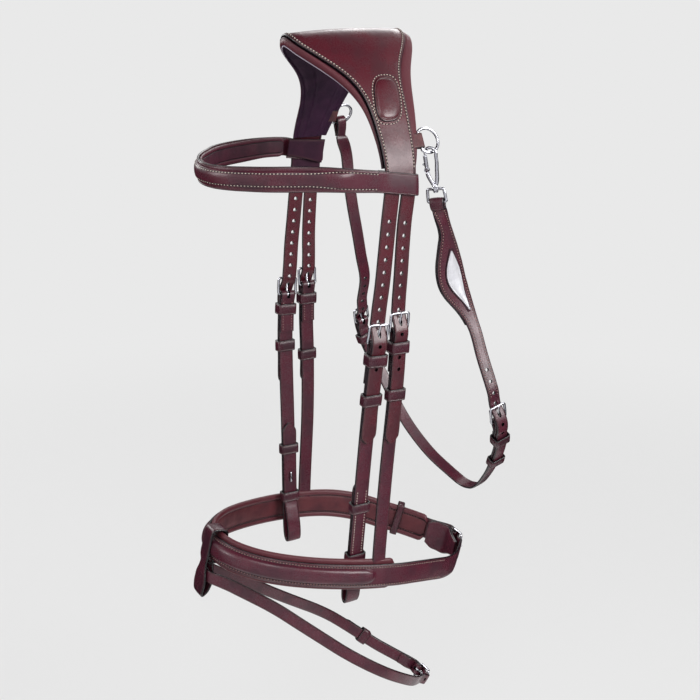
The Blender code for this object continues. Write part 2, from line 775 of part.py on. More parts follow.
near_tab_frame = ring_tab("near_ring_tab", 1)
far_tab_frame = ring_tab("far_ring_tab", -1)
d_ring("near_d_ring", near_tab_frame)
d_ring("far_d_ring", far_tab_frame)

# Browband

# Centre line of the browband and its half height, from the near loop round to the far one
BROW_LINE = ((94.8, -15, -117.2, 9.6), (94.0, -24, -116.0, 10.2), (90.8, -47, -113.6, 10.8),
             (82.5, -76, -111.0, 11.5), (70.5, -102, -110.4, 11.7), (59, -119, -110.7, 11.6),
             (46, -131.5, -111.2, 11.4), (31, -144.5, -111.6, 11.1), (15.5, -153, -111.6, 10.8),
             (0, -156, -110.8, 10.7), (-15.5, -153, -109.9, 10.8), (-31, -144.5, -109.2, 11.1),
             (-46, -131.5, -108.8, 11.4), (-59, -119, -108.6, 11.6), (-70.5, -102, -108.7, 11.7),
             (-82.5, -76, -109.1, 11.5), (-90.8, -47, -109.4, 10.4), (-93.8, -24, -110.6, 9.5),
             (-94.6, -15, -112.6, 9.4))
BROW_LOOP_HALF = 0.0100
# Each loop's place along X and Z, and how far its top leans in
BROW_LOOPS = {1: (0.0918, -0.1175, 0.070), -1: (-0.0916, -0.1136, -0.100)}
BROW_THICK = 0.0024
BROW_RISE = 0.0020            # thickness of the padding under its outer leather
brow_route = Route([(x * MM, y * MM, z * MM, 0.0, 0.0, 1.0, half * MM)
                    for x, y, z, half in BROW_LINE], tolerance=0.00025)


def brow_section(i):
    h = brow_route.half[i]
    t = BROW_THICK / 2
    y = brow_route.at[i][1]
    rise = 0.0001 + BROW_RISE * min(1.0, max(0.0, (-y - 0.050) / 0.018))
    return [(-h, -t), (h, -t), (h, t), (h * 0.60, t), (h * 0.42, t + rise),
            (-h * 0.42, t + rise), (-h * 0.60, t), (-h, t)]


browband = add_part("browband_leather", section_mesh("browband_leather", brow_route, brow_section),
                    STRAP_LOOK)
for sign, word in ((1, "near"), (-1, "far")):
    loop_x, loop_z, lean = BROW_LOOPS[sign]
    loop_frame = axes_matrix((loop_x, 0.0, loop_z), (0, -1, 0), (-lean, 0, 1))
    turn = Matrix(((1, 0, 0, 0), (0, 0, -1, 0), (0, 1, 0, 0), (0, 0, 0, 1)))
    inner = rounded_box(-0.0184, 0.0184, -0.0021, 0.0021, 0.0006, 1)
    outer = rounded_box(-0.0200, 0.0200, -0.0039, 0.0039, 0.0018, 3)
    loop = add_tool("browband_loop_" + word,
                    flat_mesh("browband_loop_" + word, [outer, inner], BROW_LOOP_HALF), loop_frame @ turn)
    boolean(browband, loop, "UNION", "MANIFOLD")     # the exact solver leaves open edges here

BROW_LINING_START = brow_route.distance_at(1, -0.026)
BROW_LINING_HALF = 0.0100
lining_rows = follow(brow_route, BROW_LINING_START, brow_route.run[-1] - BROW_LINING_START,
                     -(BROW_THICK + GAP), BROW_LINING_HALF)
strap("browband_lining", Route(lining_rows, tolerance=0.00025), LINING_LOOK, thickness=BROW_THICK)

# Cheekpieces and noseband hangers

CHAPE_LENGTH = 0.041
TURNED_BACK = 0.0019          # how far behind the front ply the turned-back end lies
BIT_LOOP_BULGE = {1: 0.86, -1: 1.0}        # how far each loop stands open
BIT_LOOP_RISE = {1: 0.0, -1: 0.0062}       # how much higher each loop ends
HANGER_RUNNER_Z = {1: -0.3258, -1: -0.3430}
LOOP_PATH = ((-0.535, 0.0010), (-0.549, 0.0006), (-0.5565, -0.0012), (-0.5602, -0.0045),
             (-0.5580, -0.0080), (-0.5500, -0.0096), (-0.5380, -0.0086), (-0.5250, -0.0052),
             (-0.5140, -0.0023), (-0.5050, -0.0019))


def chape(obj, base, start, stop, half):
    """The turned-back ply behind a buckle, joined to its strap."""
    rows = follow(base, start, stop, -0.0011, half - 0.0001, 0.015)
    name = f"{obj.name}_chape_{len(obj.modifiers)}"
    boolean(obj, strap_tool(name, Route(rows, tolerance=0.0001), 0.0022), "UNION")


def cheekpiece(word, sign):
    name = word + "_cheekpiece"
    base = side_base[("cheek", sign)]
    frame = side_buckle[("cheek", sign)]
    half = CHEEK_HALF
    rows = follow(base, 0.0022, base.distance_at(2, -0.520), 0.0010, half, 0.03)
    for z, outward in LOOP_PATH:
        spot = base.frame(base.distance_at(2, z + BIT_LOOP_RISE[sign]))
        if outward < -TURNED_BACK:
            outward = -TURNED_BACK + (outward + TURNED_BACK) * BIT_LOOP_BULGE[sign]
        rows.append((*(spot @ Vector((0, 0, outward))), *spot.col[0][:3], half))
    rows += follow(base, base.distance_at(2, -0.490), base.distance_at(2, -0.424), -TURNED_BACK,
                   half, 0.03)
    rows = point_tip(rows, 0.008, 0.0022)
    route = Route(rows, tolerance=0.0002)
    obj = strap(name, route, STRAP_LOOK)
    chape(obj, base, 0.0022, CHAPE_LENGTH, half)
    fold_on_bar(obj, frame, half)
    slot_frame = base.frame(base.distance_at(2, -0.482))
    slot = box_tool(name + "_stud_slot", slot_frame, (-0.0018, -0.013, -0.006),
                    (0.0018, 0.013, -0.0005))
    boolean(obj, slot, "DIFFERENCE")

    hook_frame = base.frame(base.distance_at(2, -0.484))
    path = ((0, 0, -0.0008), (0, 0, -0.0034), (0, -0.0006, -0.0046), (0, -0.0020, -0.0054),
            (0, -0.0050, -0.0056), (0, -0.0120, -0.0050))
    add_part(word + "_hook_stud", wire_mesh(word + "_hook_stud", path, 0.0013), STEEL_LOOK,
             hook_frame)
    buckle_frame(word + "_cheek_buckle", frame, half)
    buckle_tongue(word + "_cheek_tongue", frame)
    keeper(word + "_cheek_keeper", base.frame(base.distance_at(2, -0.2865)), half + 0.0004,
           -0.0031, 0.0067, 0.0120)
    keeper(word + "_cheek_runner", base.frame(base.distance_at(2, -0.3272)), half + 0.0004,
           -0.0007, 0.0056, 0.0120)
    keeper(word + "_bit_keeper_upper", base.frame(base.distance_at(2, -0.4460)), half + 0.0004,
           -0.0036, 0.0031, 0.0110)
    low_keeper_z = -0.5050 + BIT_LOOP_RISE[sign] / 2
    keeper(word + "_bit_keeper_lower", base.frame(base.distance_at(2, low_keeper_z)), half + 0.0004,
           -0.0042, 0.0031, 0.0110)


def hanger(word, sign):
    name = word + "_noseband_hanger"
    base = side_base[("hanger", sign)]
    frame = side_buckle[("hanger", sign)]
    half = HANGER_HALF
    rows = follow(base, 0.0022, base.distance_at(2, -0.531), 0.0010, half, 0.03)
    obj = strap(name, Route(rows, tolerance=0.0002), STRAP_LOOK)
    chape(obj, base, 0.0022, CHAPE_LENGTH, half)
    fold_on_bar(obj, frame, half)
    buckle_frame(word + "_hanger_buckle", frame, half)
    buckle_tongue(word + "_hanger_tongue", frame)
    keeper(word + "_hanger_keeper", base.frame(base.distance_at(2, -0.2780)), half + 0.0004,
           -0.0031, 0.0064, 0.0120)
    keeper(word + "_hanger_runner", base.frame(base.distance_at(2, HANGER_RUNNER_Z[sign])), half + 0.0004,
           -0.0007, 0.0056, 0.0120)


for sign, word in ((1, "near"), (-1, "far")):
    cheekpiece(word, sign)
    hanger(word, sign)

# Noseband: it starts at the buckle on the far side of the chin, runs round the nose and comes
# back through the buckle, so its billet lies outside its own far end

# Centre line of the noseband, from the buckle's end on the far side round to the billet
NOSE_LINE = ((-24, 133, -570), (-45, 118, -565.5), (-60, 103, -560.5), (-72, 84, -553.5),
             (-84, 60, -543.5), (-92, 30, -534), (-94, 0, -527), (-90, -45, -518.5),
             (-77, -90, -509.5), (-60, -124, -502), (-44, -143, -497.5),
             (-27.5, -156, -494.5), (-13.5, -161.5, -493), (0, -162.5, -492.4),
             (14, -161.5, -493), (29, -156, -494.7), (46.5, -143, -498),
             (62.5, -124, -502), (78.5, -90, -509), (90, -45, -518), (94, 0, -527),
             (91, 28, -533.5), (82.5, 56, -543), (70.5, 79, -553.5), (57.5, 98, -560.5),
             (43, 113.5, -565.5), (23, 130.5, -570))
CHIN_BAR = (-6, 141.5, -573)
NOSE_WIDTH_DIRECTION = (0.0, -0.25, -0.97)
NOSE_RISE = 0.0032            # how far the noseband's middle stands out over the nose
CHIN_PITCH = 0.015            # spacing of the holes in the chin billet
CHIN_KEEPER_AT = 0.071        # from the chin buckle's bar to its keeper
LINING_HALF, LINING_LIFT = 0.0160, 0.0010
LINING_INNER = 0.0067         # how far inside the noseband's middle the lining reaches
LINING_END_Y = -0.0020        # the near side's lining ends just behind the hanger
CHIN_PAD_DROP = 0.0016        # how far the chin guard hangs below the noseband's middle
CHIN_TOWARD = (0.97, -0.215, 0.07)
CHIN_OUTWARD = (0.20, 0.95, -0.24)


def ring_rows(line, bar, width_direction, half):
    return [(x * MM, y * MM, z * MM, *width_direction, half) for x, y, z in (bar, *line)]


nose_base = Route(ring_rows(NOSE_LINE, CHIN_BAR, NOSE_WIDTH_DIRECTION, NOSE_HALF),
                  tolerance=0.00005)
chin_frame = buckle_matrix([c * MM for c in CHIN_BAR], CHIN_TOWARD, CHIN_OUTWARD)


def closing_rows(base, frame, half, far_length, tip_width, far_out=0.0038):
    """The end of a ring strap: up to its buckle, through it, and out over its own start."""
    side = -frame.col[0].xyz
    rows = rows_from(billet_through(frame, BILLET_PASS[1:]), side, half)
    rows += follow(base, 0.030, far_length, far_out, half, 0.015)
    return point_tip(rows, 0.008, tip_width)


def hole_near(route, place, reach=0.20):
    """The distance along the last stretch of a strap that lies closest to a place."""
    fine = np.linspace(route.run[-1] - reach, route.run[-1] - 0.012, 800)
    spots = np.array([route.frame(d).translation for d in fine])
    return fine[int(np.argmin(np.linalg.norm(spots - np.array(place), axis=1)))]


def closing_holes(route, frame, pitch):
    """Holes of a ring strap's billet, with the tongue in the third one."""
    used = hole_near(route, frame @ Vector((0, TONGUE_HOLE_ALONG, 0.0022)))
    return [(route.frame(used + k * pitch), 2.35 if k == 0 else 1.0) for k in range(-2, 4)]


def nose_leather():
    """The noseband, raised over the nose, from its chape round to its billet."""
    start = follow(nose_base, 0.0022, 0.020, 0.0010, CHIN_HALF, 0.018)
    body = follow(nose_base, 0.036, nose_base.run[-1] - 0.040, 0.0, NOSE_HALF, 0.012)
    neck = follow(nose_base, nose_base.run[-1] - 0.014, nose_base.run[-1] - 0.004, 0.0, CHIN_HALF)
    end = closing_rows(nose_base, chin_frame, CHIN_HALF, 0.088, 0.0040)
    route = Route(start + body + neck + end, tolerance=0.00024)
    raised_from, raised_to = 0.10, route.run[-1] - 0.20

    def section(i):
        h = route.half[i]
        t = LEATHER / 2
        rise = 0.0001
        if raised_from < route.run[i] < raised_to:
            rise += NOSE_RISE * min(1.0, max(0.0, (-0.024 - route.at[i][1]) / 0.010))
        return [(-h, -t), (h, -t), (h, t), (h * 0.56, t), (h * 0.40, t + rise),
                (-h * 0.40, t + rise), (-h * 0.56, t), (-h, t)]

    obj = add_part("noseband_leather", section_mesh("noseband_leather", route, section), STRAP_LOOK)
    chape(obj, nose_base, 0.0022, 0.030, CHIN_HALF)
    fold_on_bar(obj, chin_frame, CHIN_HALF)
    punch(obj, closing_holes(route, chin_frame, CHIN_PITCH), radius=0.0021, depth=0.0042)


nose_leather()


def nose_lining():
    """Padded lining inside the noseband, with a roll above and below the leather."""
    start = nose_base.distance_at(0, -0.036)
    middle = nose_base.distance_at(0, 0.0)
    fine = np.linspace(middle, nose_base.run[-1], 400)
    ends = np.array([nose_base.frame(d).translation.y for d in fine])
    stop = float(np.interp(LINING_END_Y, ends, fine))
    route = Route(follow(nose_base, start, stop, -0.0042, LINING_HALF), tolerance=0.0004)

    def section(i):
        edge = min(route.run[i], route.run[-1] - route.run[i])
        h = LINING_HALF * (0.80 + 0.20 * min(1.0, edge / 0.012))
        shape = [(-h, 1.7), (-h, -1.4), (-h + 0.0016, -2.5), (-h * 0.58, -2.5), (-h * 0.48, -1.2),
                 (h * 0.48, -1.2), (h * 0.58, -2.5), (h - 0.0016, -2.5), (h, -1.4), (h, 1.7),
                 (h - 0.0016, 2.5), (-h + 0.0016, 2.5)]
        return [(across - LINING_LIFT, outward * MM) for across, outward in shape]

    obj = add_part("noseband_lining", section_mesh("noseband_lining", route, section), LINING_LOOK)
    for sign, word in ((1, "near"), (-1, "far")):
        base = side_base[("hanger", sign)]
        rows = follow(base, base.distance_at(2, -0.500), base.run[-1], 0.0010,
                      HANGER_HALF + 0.0004, 0.02)
        pocket = strap_tool("noseband_pocket_" + word, Route(rows, tolerance=0.0001),
                            LEATHER + 0.0007)
        boolean(obj, pocket, "DIFFERENCE")


nose_lining()
buckle_frame("chin_buckle", chin_frame, CHIN_HALF)
buckle_tongue("chin_tongue", chin_frame)
chin_keeper_frame = nose_base.frame(CHIN_KEEPER_AT) @ Matrix.Translation((-LINING_LIFT, 0, 0))
keeper("chin_keeper", chin_keeper_frame, LINING_HALF + 0.0004, -LINING_INNER - 0.0008, 0.0056, 0.0080)


def chin_pad():
    """The guard behind the chin buckle, wide beside the lining and narrow toward the billet."""
    depth = -0.0068
    side = -chin_frame.col[0].xyz
    rows = [(*(chin_frame @ Vector((0, along, depth))), *side, 0.0125) for along in (0.026, 0.012)]
    rows += follow(nose_base, 0.004, 0.030, depth, 0.0172, 0.009)
    rows = [(*(Vector(row[:3]) + Vector(row[3:6]) * CHIN_PAD_DROP), *row[3:]) for row in rows]
    rows[0] = (*rows[0][:6], 0.0090)
    rows[-1] = (*rows[-1][:6], 0.0130)
    strap("chin_pad", Route(rows, tolerance=0.0001), STRAP_LOOK, thickness=0.0036)


chin_pad()

# Flash loop: a band round the front of the noseband, with a leaf below it for the flash strap

NOSE_FRONT = (-162.5, -491.9)
FLASH_HALF_WIDTHS = ((26, 9), (-9, 9), (-17, 6.6), (-24, 8.4), (-31, 11.3), (-39, 12.2),
                     (-47, 10.6), (-54, 7.4), (-63, 2.6))
FLASH_FRONT_EDGE = ((-172.4, -508.4), (-174.4, -511.6), (-176.8, -519), (-179.2, -529), (-181.4, -538))
FLASH_TIP_EDGE = ((-181.8, -543), (-179.8, -545.6), (-176.4, -543.8))
FLASH_BACK_EDGE = ((-172.0, -536), (-168.8, -528), (-166.2, -519), (-164.9, -512.3), (-164.0, -510.0))
FLASH_WALL = 0.0024


def flash_loop():
    """A profile in the Y-Z plane with two holes, trimmed to the leaf's outline from the front."""
    lean = math.radians(14.5)
    upper_outer = rounded_box(-7.6, 11.4, -18.6, 19.6, 3.6, 3)
    upper_inner = rounded_box(-5.2, 9.0, -16.4, 17.4, 2.4, 2)

    def lean_back(points):
        return [((NOSE_FRONT[0] + y * math.cos(lean) + z * math.sin(lean)) * MM,
                 (NOSE_FRONT[1] - y * math.sin(lean) + z * math.cos(lean)) * MM) for y, z in points]

    def in_metres(points):
        return [(y * MM, z * MM) for y, z in points]

    leaf = [np.array(p) * MM for p in FLASH_FRONT_EDGE + FLASH_TIP_EDGE + FLASH_BACK_EDGE]
    inner = []
    for before, here, after in zip(leaf[1:-3], leaf[2:-2], leaf[3:-1]):
        way = (after - before) / np.linalg.norm(after - before)
        inner.append(tuple(here + np.array((-way[1], way[0])) * FLASH_WALL))
    low_ring = [(leaf[1][0] + FLASH_WALL, leaf[1][1] - 0.001)] + inner
    low_ring.append((leaf[-2][0] - FLASH_WALL, leaf[-2][1] - 0.001))
    top = in_metres([(-171.0, -507.4), (-163.4, -509.3)])

    turn = Matrix(((0, 0, 1, 0), (1, 0, 0, 0), (0, 1, 0, 0), (0, 0, 0, 1)))
    band = flat_mesh("flash_loop", [lean_back(upper_outer), lean_back(upper_inner)], 0.016)
    obj = add_part("flash_loop", band, EDGE_LOOK, turn)
    outline = [tuple(p) for p in leaf] + [top[1], top[0]]
    leaf_tool = add_tool("flash_leaf", flat_mesh("flash_leaf", [outline, low_ring], 0.016), turn)
    boolean(obj, leaf_tool, "UNION")
    front = [(half * MM, z * MM) for z, half in FLASH_HALF_WIDTHS]
    front += [(-half * MM, z * MM) for z, half in FLASH_HALF_WIDTHS[::-1]]
    stand = Matrix(((1, 0, 0, 0), (0, 0, -1, NOSE_FRONT[0] * MM),
                    (0, 1, 0, NOSE_FRONT[1] * MM), (0, 0, 0, 1)))
    trim = add_tool("flash_outline", flat_mesh("flash_outline", [front], 0.05), stand)
    boolean(obj, trim, "INTERSECT")


flash_loop()

FLASH_LINE = ((-22, 86, -729), (-43, 61, -712), (-56, 38, -692), (-63, 12, -669),
              (-61, -11, -650), (-54, -36, -630), (-47, -61, -610), (-40, -84, -591),
              (-33, -110, -569), (-26.5, -141, -547), (-20.5, -161.5, -530), (-14, -171.2, -522.4),
              (0, -172.2, -521.6), (14, -171.2, -521.8), (20.5, -161.5, -526),
              (26.5, -141, -541), (33, -110, -566), (40, -84, -590), (47, -61, -611.2),
              (54, -36, -634), (61, -11, -654), (63, 12, -671.5), (56, 38, -692),
              (43, 61, -711), (22, 86, -729))
FLASH_BAR = (-5, 97, -737.5)
FLASH_WIDTH_DIRECTION = (0.0, -0.62, -0.78)
FLASH_FRONT_DIRECTION = (0.0, -0.24, -0.97)
FLASH_TOWARD = (0.985, -0.13, 0.105)
FLASH_OUTWARD = (0.17, 0.76, -0.62)


def flash_rows():
    """The strap stands upright in the leaf and leans back with the ring elsewhere."""
    rows = []
    for x, y, z, *direction, half in ring_rows(FLASH_LINE, FLASH_BAR, FLASH_WIDTH_DIRECTION, FLASH_HALF):
        upright_share = min(1.0, max(0.0, (-0.140 - y) / 0.025))
        blend = [a + (b - a) * upright_share for a, b in zip(direction, FLASH_FRONT_DIRECTION)]
        rows.append((x, y, z, *blend, half))
    return rows


flash_base = Route(flash_rows(), tolerance=0.00005)
flash_frame = buckle_matrix([c * MM for c in FLASH_BAR], FLASH_TOWARD, FLASH_OUTWARD)


def flash_strap():
    """The flash strap, from its chape round the muzzle and back through its buckle."""
    start = follow(flash_base, 0.0022, 0.020, 0.0010, FLASH_HALF, 0.018)
    body = follow(flash_base, 0.036, flash_base.run[-1] - 0.004, 0.0, FLASH_HALF, 0.012)
    end = closing_rows(flash_base, flash_frame, FLASH_HALF, 0.105, 0.0020)
    route = Route(start + body + end, tolerance=0.00018)
    obj = strap("flash_strap", route, STRAP_LOOK)
    chape(obj, flash_base, 0.0022, 0.026, FLASH_HALF)
    fold_on_bar(obj, flash_frame, FLASH_HALF)
    punch(obj, closing_holes(route, flash_frame, HOLE_PITCH), radius=0.0017, depth=0.0042)


flash_strap()
buckle_frame("flash_buckle", flash_frame, FLASH_HALF)
buckle_tongue("flash_tongue", flash_frame)
keeper("flash_keeper", flash_base.frame(0.0775), FLASH_HALF + 0.0004, -0.0018, 0.0056, 0.0110)

# Throatlatch: a strap under the throat with a buckle at each end

THROAT_WIDTH_DIRECTION = (0.0, -0.966, -0.26)
THROAT_LINE = ((121, 104.5, -380), (114.6, 109.5, -395), (105, 113.6, -412), (93, 118.6, -431),
               (74.5, 125.6, -452), (48, 136.6, -475.6), (22, 146.6, -491), (0, 150.4, -497),
               (-22, 147.2, -491.6), (-48, 137.8, -477.3), (-75, 127, -453), (-94, 120.5, -431),
               (-106, 116, -412), (-115.5, 111.5, -395), (-122, 106, -380), (-129, 94, -346))
NEAR_THROAT_BAR, NEAR_THROAT_ABOVE = (125.2, 99.6, -364), (126.6, 91.2, -340)
FAR_THROAT_BAR, FAR_THROAT_ABOVE = (-125.5, 88.6, -327), (-115, 84, -300)
THROAT_CHAPE = 0.034
LEAF_LINE = ((87.2, 51.4, -162, 7.0), (86.7, 56.2, -175, 7.6), (86.4, 58.6, -189, 11.0),
             (86.9, 60.8, -208, 15.0), (88.0, 63.4, -222, 15.6), (89.6, 68.0, -233, 14.3),
             (92.4, 75.2, -247, 10.6), (97.3, 81.4, -263, 7.4), (102.5, 84.2, -276, 6.7))
LEAF_TO_BUCKLE = (111.5, 86.4, -297)
FAR_BILLET_LINE = ((-88, 46, -122), (-88, 49.5, -152), (-86.5, 53, -180), (-86.5, 59, -210),
                   (-90, 66, -238), (-97, 75, -266))

throat_base = Route([(x * MM, y * MM, z * MM, *THROAT_WIDTH_DIRECTION, THROAT_HALF)
                     for x, y, z in (NEAR_THROAT_BAR, *THROAT_LINE, FAR_THROAT_BAR)],
                    tolerance=0.00005)
THROAT_RUN = throat_base.run[-1]


def throat_frame(bar, above, sign):
    toward = Vector(above) - Vector(bar)
    return axes_matrix(Vector(bar) * MM, Vector(THROAT_WIDTH_DIRECTION) * -sign, toward)


near_throat = throat_frame(NEAR_THROAT_BAR, NEAR_THROAT_ABOVE, 1)
far_throat = throat_frame(FAR_THROAT_BAR, FAR_THROAT_ABOVE, -1)


def throat_strap():
    rows = follow(throat_base, 0.0022, THROAT_RUN - 0.0022, 0.0010, THROAT_HALF)
    obj = strap("throat_strap", Route(rows, tolerance=0.0002), STRAP_LOOK)
    chape(obj, throat_base, 0.0022, THROAT_CHAPE, THROAT_HALF)
    chape(obj, throat_base, THROAT_RUN - THROAT_CHAPE, THROAT_RUN - 0.0022, THROAT_HALF)
    fold_on_bar(obj, near_throat, THROAT_HALF)
    fold_on_bar(obj, far_throat, THROAT_HALF)


def billet_holes(route, frame, first, last):
    """Holes either side of the one that holds the buckle's tongue."""
    place = frame @ Vector((0, TONGUE_HOLE_ALONG, 0.0022))
    used = hole_near(route, place, 0.15)
    return [(route.frame(used + k * HOLE_PITCH), 2.35 if k == 0 else 1.0) for k in range(first, last)]


throat_strap()
for word, frame in (("near", near_throat), ("far", far_throat)):
    buckle_frame(word + "_throat_buckle", frame, THROAT_HALF)
    buckle_tongue(word + "_throat_tongue", frame)
keeper("near_throat_keeper", throat_base.frame(0.0250), THROAT_HALF + 0.0004, -0.0031, 0.0064, 0.0110)
keeper("near_throat_runner", throat_base.frame(0.0620), THROAT_HALF + 0.0004,
       -0.0009, 0.0062, 0.0110)
keeper("far_throat_keeper", throat_base.frame(THROAT_RUN - 0.0245), THROAT_HALF + 0.0004,
       -0.0031, 0.0064, 0.0110)


FAR_FOLD_TURN = 11            # degrees round the far D-ring from its lowest point
FAR_FOLD_HALF = 0.0052        # the leather is drawn in where it passes the ring


def far_throat_billet():
    """The far side's billet: folded round the D-ring, then down through the far buckle."""
    hold = ring_low(far_tab_frame, -1, FAR_FOLD_TURN)
    low = hold * 1000
    side = tuple(-c for c in THROAT_WIDTH_DIRECTION)
    rows = [(x * MM, y * MM, z * MM, *side, THROAT_HALF) for x, y, z in FAR_BILLET_LINE]
    top = [(low.x, low.y + 1.0, low.z - 8.0), (low.x - 0.3, low.y + 3.2, low.z - 16.0)]
    rows = [(x * MM, y * MM, z * MM, 0, 1, 0, FAR_FOLD_HALF + 0.0012) for x, y, z in top] + rows
    rows += rows_from(billet_through(far_throat, BILLET_PASS[:-1]), side, THROAT_HALF)
    rows += follow(throat_base, THROAT_RUN - 0.016, THROAT_RUN - 0.055, 0.0042, THROAT_HALF, 0.01, -1)
    rows = point_tip(rows, 0.006, 0.0020)
    route = Route(rows, tolerance=0.00014)
    obj = strap("far_throat_billet", route, STRAP_LOOK)
    outer = [(-0.0046, 0.0058), (-0.0034, 0.0074), (0.0034, 0.0074), (0.0046, 0.0058),
             (0.0046, -0.0022), (0.0022, -0.0120), (-0.0022, -0.0120), (-0.0046, -0.0022)]
    inner = [(-0.0026, 0.0044), (-0.0018, 0.0056), (0.0018, 0.0056), (0.0026, 0.0044),
             (0.0025, -0.0022), (0.0010, -0.0062), (-0.0010, -0.0062), (-0.0025, -0.0022)]
    fold_frame = axes_matrix(hold, (0.98, 0, -0.19), (0.19, -0.12, 0.98))
    fold = flat_mesh("far_throat_fold", [outer, inner], FAR_FOLD_HALF)
    boolean(obj, add_tool("far_throat_fold", fold, fold_frame), "UNION")
    punch(obj, billet_holes(route, far_throat, -5, 3))


far_throat_billet()

# Swivel snap on the near D-ring: it carries the near throat billet

SNAP_FOOT = (0.0884, 0.0415, -0.1300)    # the swivel's axis at the eye's top bar
SNAP_FACING = (0.82, 0.57, 0.0)          # direction of the eye's bars
EYE_WIRE, EYE_TOP_HALF, EYE_LOW_HALF, EYE_DROP = 0.0013, 0.0080, 0.0094, 0.0125
SNAP_WIRE = 0.0016
HOOK_RADIUS = 0.0057

snap_up = (ring_low(near_tab_frame, 1) - Vector(SNAP_FOOT)).normalized()
SNAP_REACH = (ring_low(near_tab_frame, 1) - Vector(SNAP_FOOT)).length
snap_depth = Vector(SNAP_FACING).cross(snap_up).normalized()
snap_frame = axes_matrix(SNAP_FOOT, snap_up.cross(snap_depth), snap_up)
upright = Matrix.Rotation(-math.pi / 2, 4, "X")
GATE_X, GATE_Y = -0.0056, SNAP_REACH - 0.0160
gate_frame = snap_frame @ Matrix.Translation((GATE_X, GATE_Y, 0.0))


def post_mesh(name, radius, low, high, sides=12):
    """A cylinder along local Y from low to high."""
    bm = bmesh.new()
    place = Matrix.Translation((0, (low + high) / 2, 0)) @ upright
    bmesh.ops.create_cone(bm, cap_ends=True, segments=sides, radius1=radius, radius2=radius,
                          depth=high - low, matrix=place)
    return mesh_from_bmesh(name, bm)


def pin_mesh(name, radius, half, sides=12):
    """A cylinder along local Z, centred on the origin."""
    bm = bmesh.new()
    bmesh.ops.create_cone(bm, cap_ends=True, segments=sides, radius1=radius, radius2=radius,
                          depth=2 * half)
    return mesh_from_bmesh(name, bm)


def snap_eye():
    """The rectangular eye, with a bored boss for the swivel."""
    points = [(-EYE_TOP_HALF, 0, 0), (0, 0, 0), (EYE_TOP_HALF, 0, 0),
              (EYE_LOW_HALF, -EYE_DROP + 0.001, 0), (EYE_LOW_HALF - 0.001, -EYE_DROP, 0),
              (-EYE_LOW_HALF + 0.001, -EYE_DROP, 0), (-EYE_LOW_HALF, -EYE_DROP + 0.001, 0)]
    obj = add_part("snap_eye", wire_mesh("snap_eye", points, EYE_WIRE, cyclic=True), STEEL_LOOK,
                   snap_frame)
    boss = add_tool("snap_boss", post_mesh("snap_boss", 0.0031, -0.0016, 0.0016), snap_frame)
    bore = add_tool("snap_bore", post_mesh("snap_bore", 0.0016, -0.004, 0.004), snap_frame)
    boolean(obj, boss, "UNION")
    boolean(obj, bore, "DIFFERENCE")


def snap_body():
    """Hook, right leg and forked left leg on a swivel post."""
    centre = SNAP_REACH - 0.0012
    points = [(0.0008, 0.0030, 0), (0.0030, 0.0090, 0), (0.0042, 0.0180, 0),
              (0.0052, centre - 0.0080, 0)]
    for k in range(9):
        angle = math.radians(-20 + 200 * k / 8)
        points.append((HOOK_RADIUS * math.cos(angle), centre + HOOK_RADIUS * math.sin(angle), 0))
    obj = add_part("snap_body", wire_mesh("snap_body", points, SNAP_WIRE), STEEL_LOOK, snap_frame)
    left = [(-0.0006, 0.0030, 0), (-0.0030, 0.0080, 0), (GATE_X + 0.0006, GATE_Y - 0.0060, 0),
            (GATE_X, GATE_Y - 0.0035, 0)]
    tools = (("snap_left_leg", wire_mesh("snap_left_leg", left, SNAP_WIRE), snap_frame),
             ("snap_collar", post_mesh("snap_collar", 0.0027, 0.0020, 0.0046), snap_frame),
             ("snap_stem", post_mesh("snap_stem", 0.0012, -0.0030, 0.0030), snap_frame),
             ("snap_head", post_mesh("snap_head", 0.0024, -0.0034, -0.0020), snap_frame),
             ("snap_fork", pin_mesh("snap_fork", 0.0023, 0.0026, 16), gate_frame))
    for name, mesh, matrix in tools:
        boolean(obj, add_tool(name, mesh, matrix), "UNION")
    tail = box_tool("snap_fork_tail", gate_frame, (-0.0022, -0.0052, -0.0026), (0.0022, -0.0008, 0.0026))
    slot = box_tool("snap_fork_slot", gate_frame, (-0.006, -0.0030, -0.0014), (0.006, 0.006, 0.0014))
    pin = add_tool("snap_pin", pin_mesh("snap_pin", 0.0007, 0.0020, 8), gate_frame)
    boolean(obj, tail, "UNION")
    boolean(obj, slot, "DIFFERENCE")
    boolean(obj, pin, "UNION")


def snap_gate():
    """The spring gate, hinged on the fork's pin, with its thumb nub."""
    obj = add_part("snap_gate", pin_mesh("snap_gate", 0.0021, 0.0010), STEEL_LOOK, gate_frame)
    top = 0.0160 - 0.0012 - SNAP_WIRE - 0.0006
    lever = [(0, 0.0012, 0), (0, top * 0.5, 0), (0, top, 0)]
    nub = [(-0.0008, 0.0050, 0), (-0.0030, 0.0054, 0)]
    boolean(obj, add_tool("snap_lever", wire_mesh("snap_lever", lever, 0.0010), gate_frame), "UNION")
    boolean(obj, add_tool("snap_nub", wire_mesh("snap_nub", nub, 0.0009), gate_frame), "UNION")
    bore = add_tool("snap_gate_bore", pin_mesh("snap_gate_bore", 0.0010, 0.004), gate_frame)
    boolean(obj, bore, "DIFFERENCE")


snap_eye()
snap_body()
snap_gate()

# Near throat billet: folded on the snap's eye, wide where it carries its plate

leaf_bar = snap_frame @ Matrix.Translation((0.0, -EYE_DROP, 0.0))


def leaf_base_route():
    away = leaf_bar @ Vector((0, -0.0022, 0))
    rows = [(*away, *(-leaf_bar.col[0].xyz), THROAT_HALF + 0.0003)]
    rows += [(x * MM, y * MM, z * MM, *THROAT_WIDTH_DIRECTION, half * MM)
             for x, y, z, half in LEAF_LINE]
    return Route(rows, tolerance=0.00008)


leaf_base = leaf_base_route()


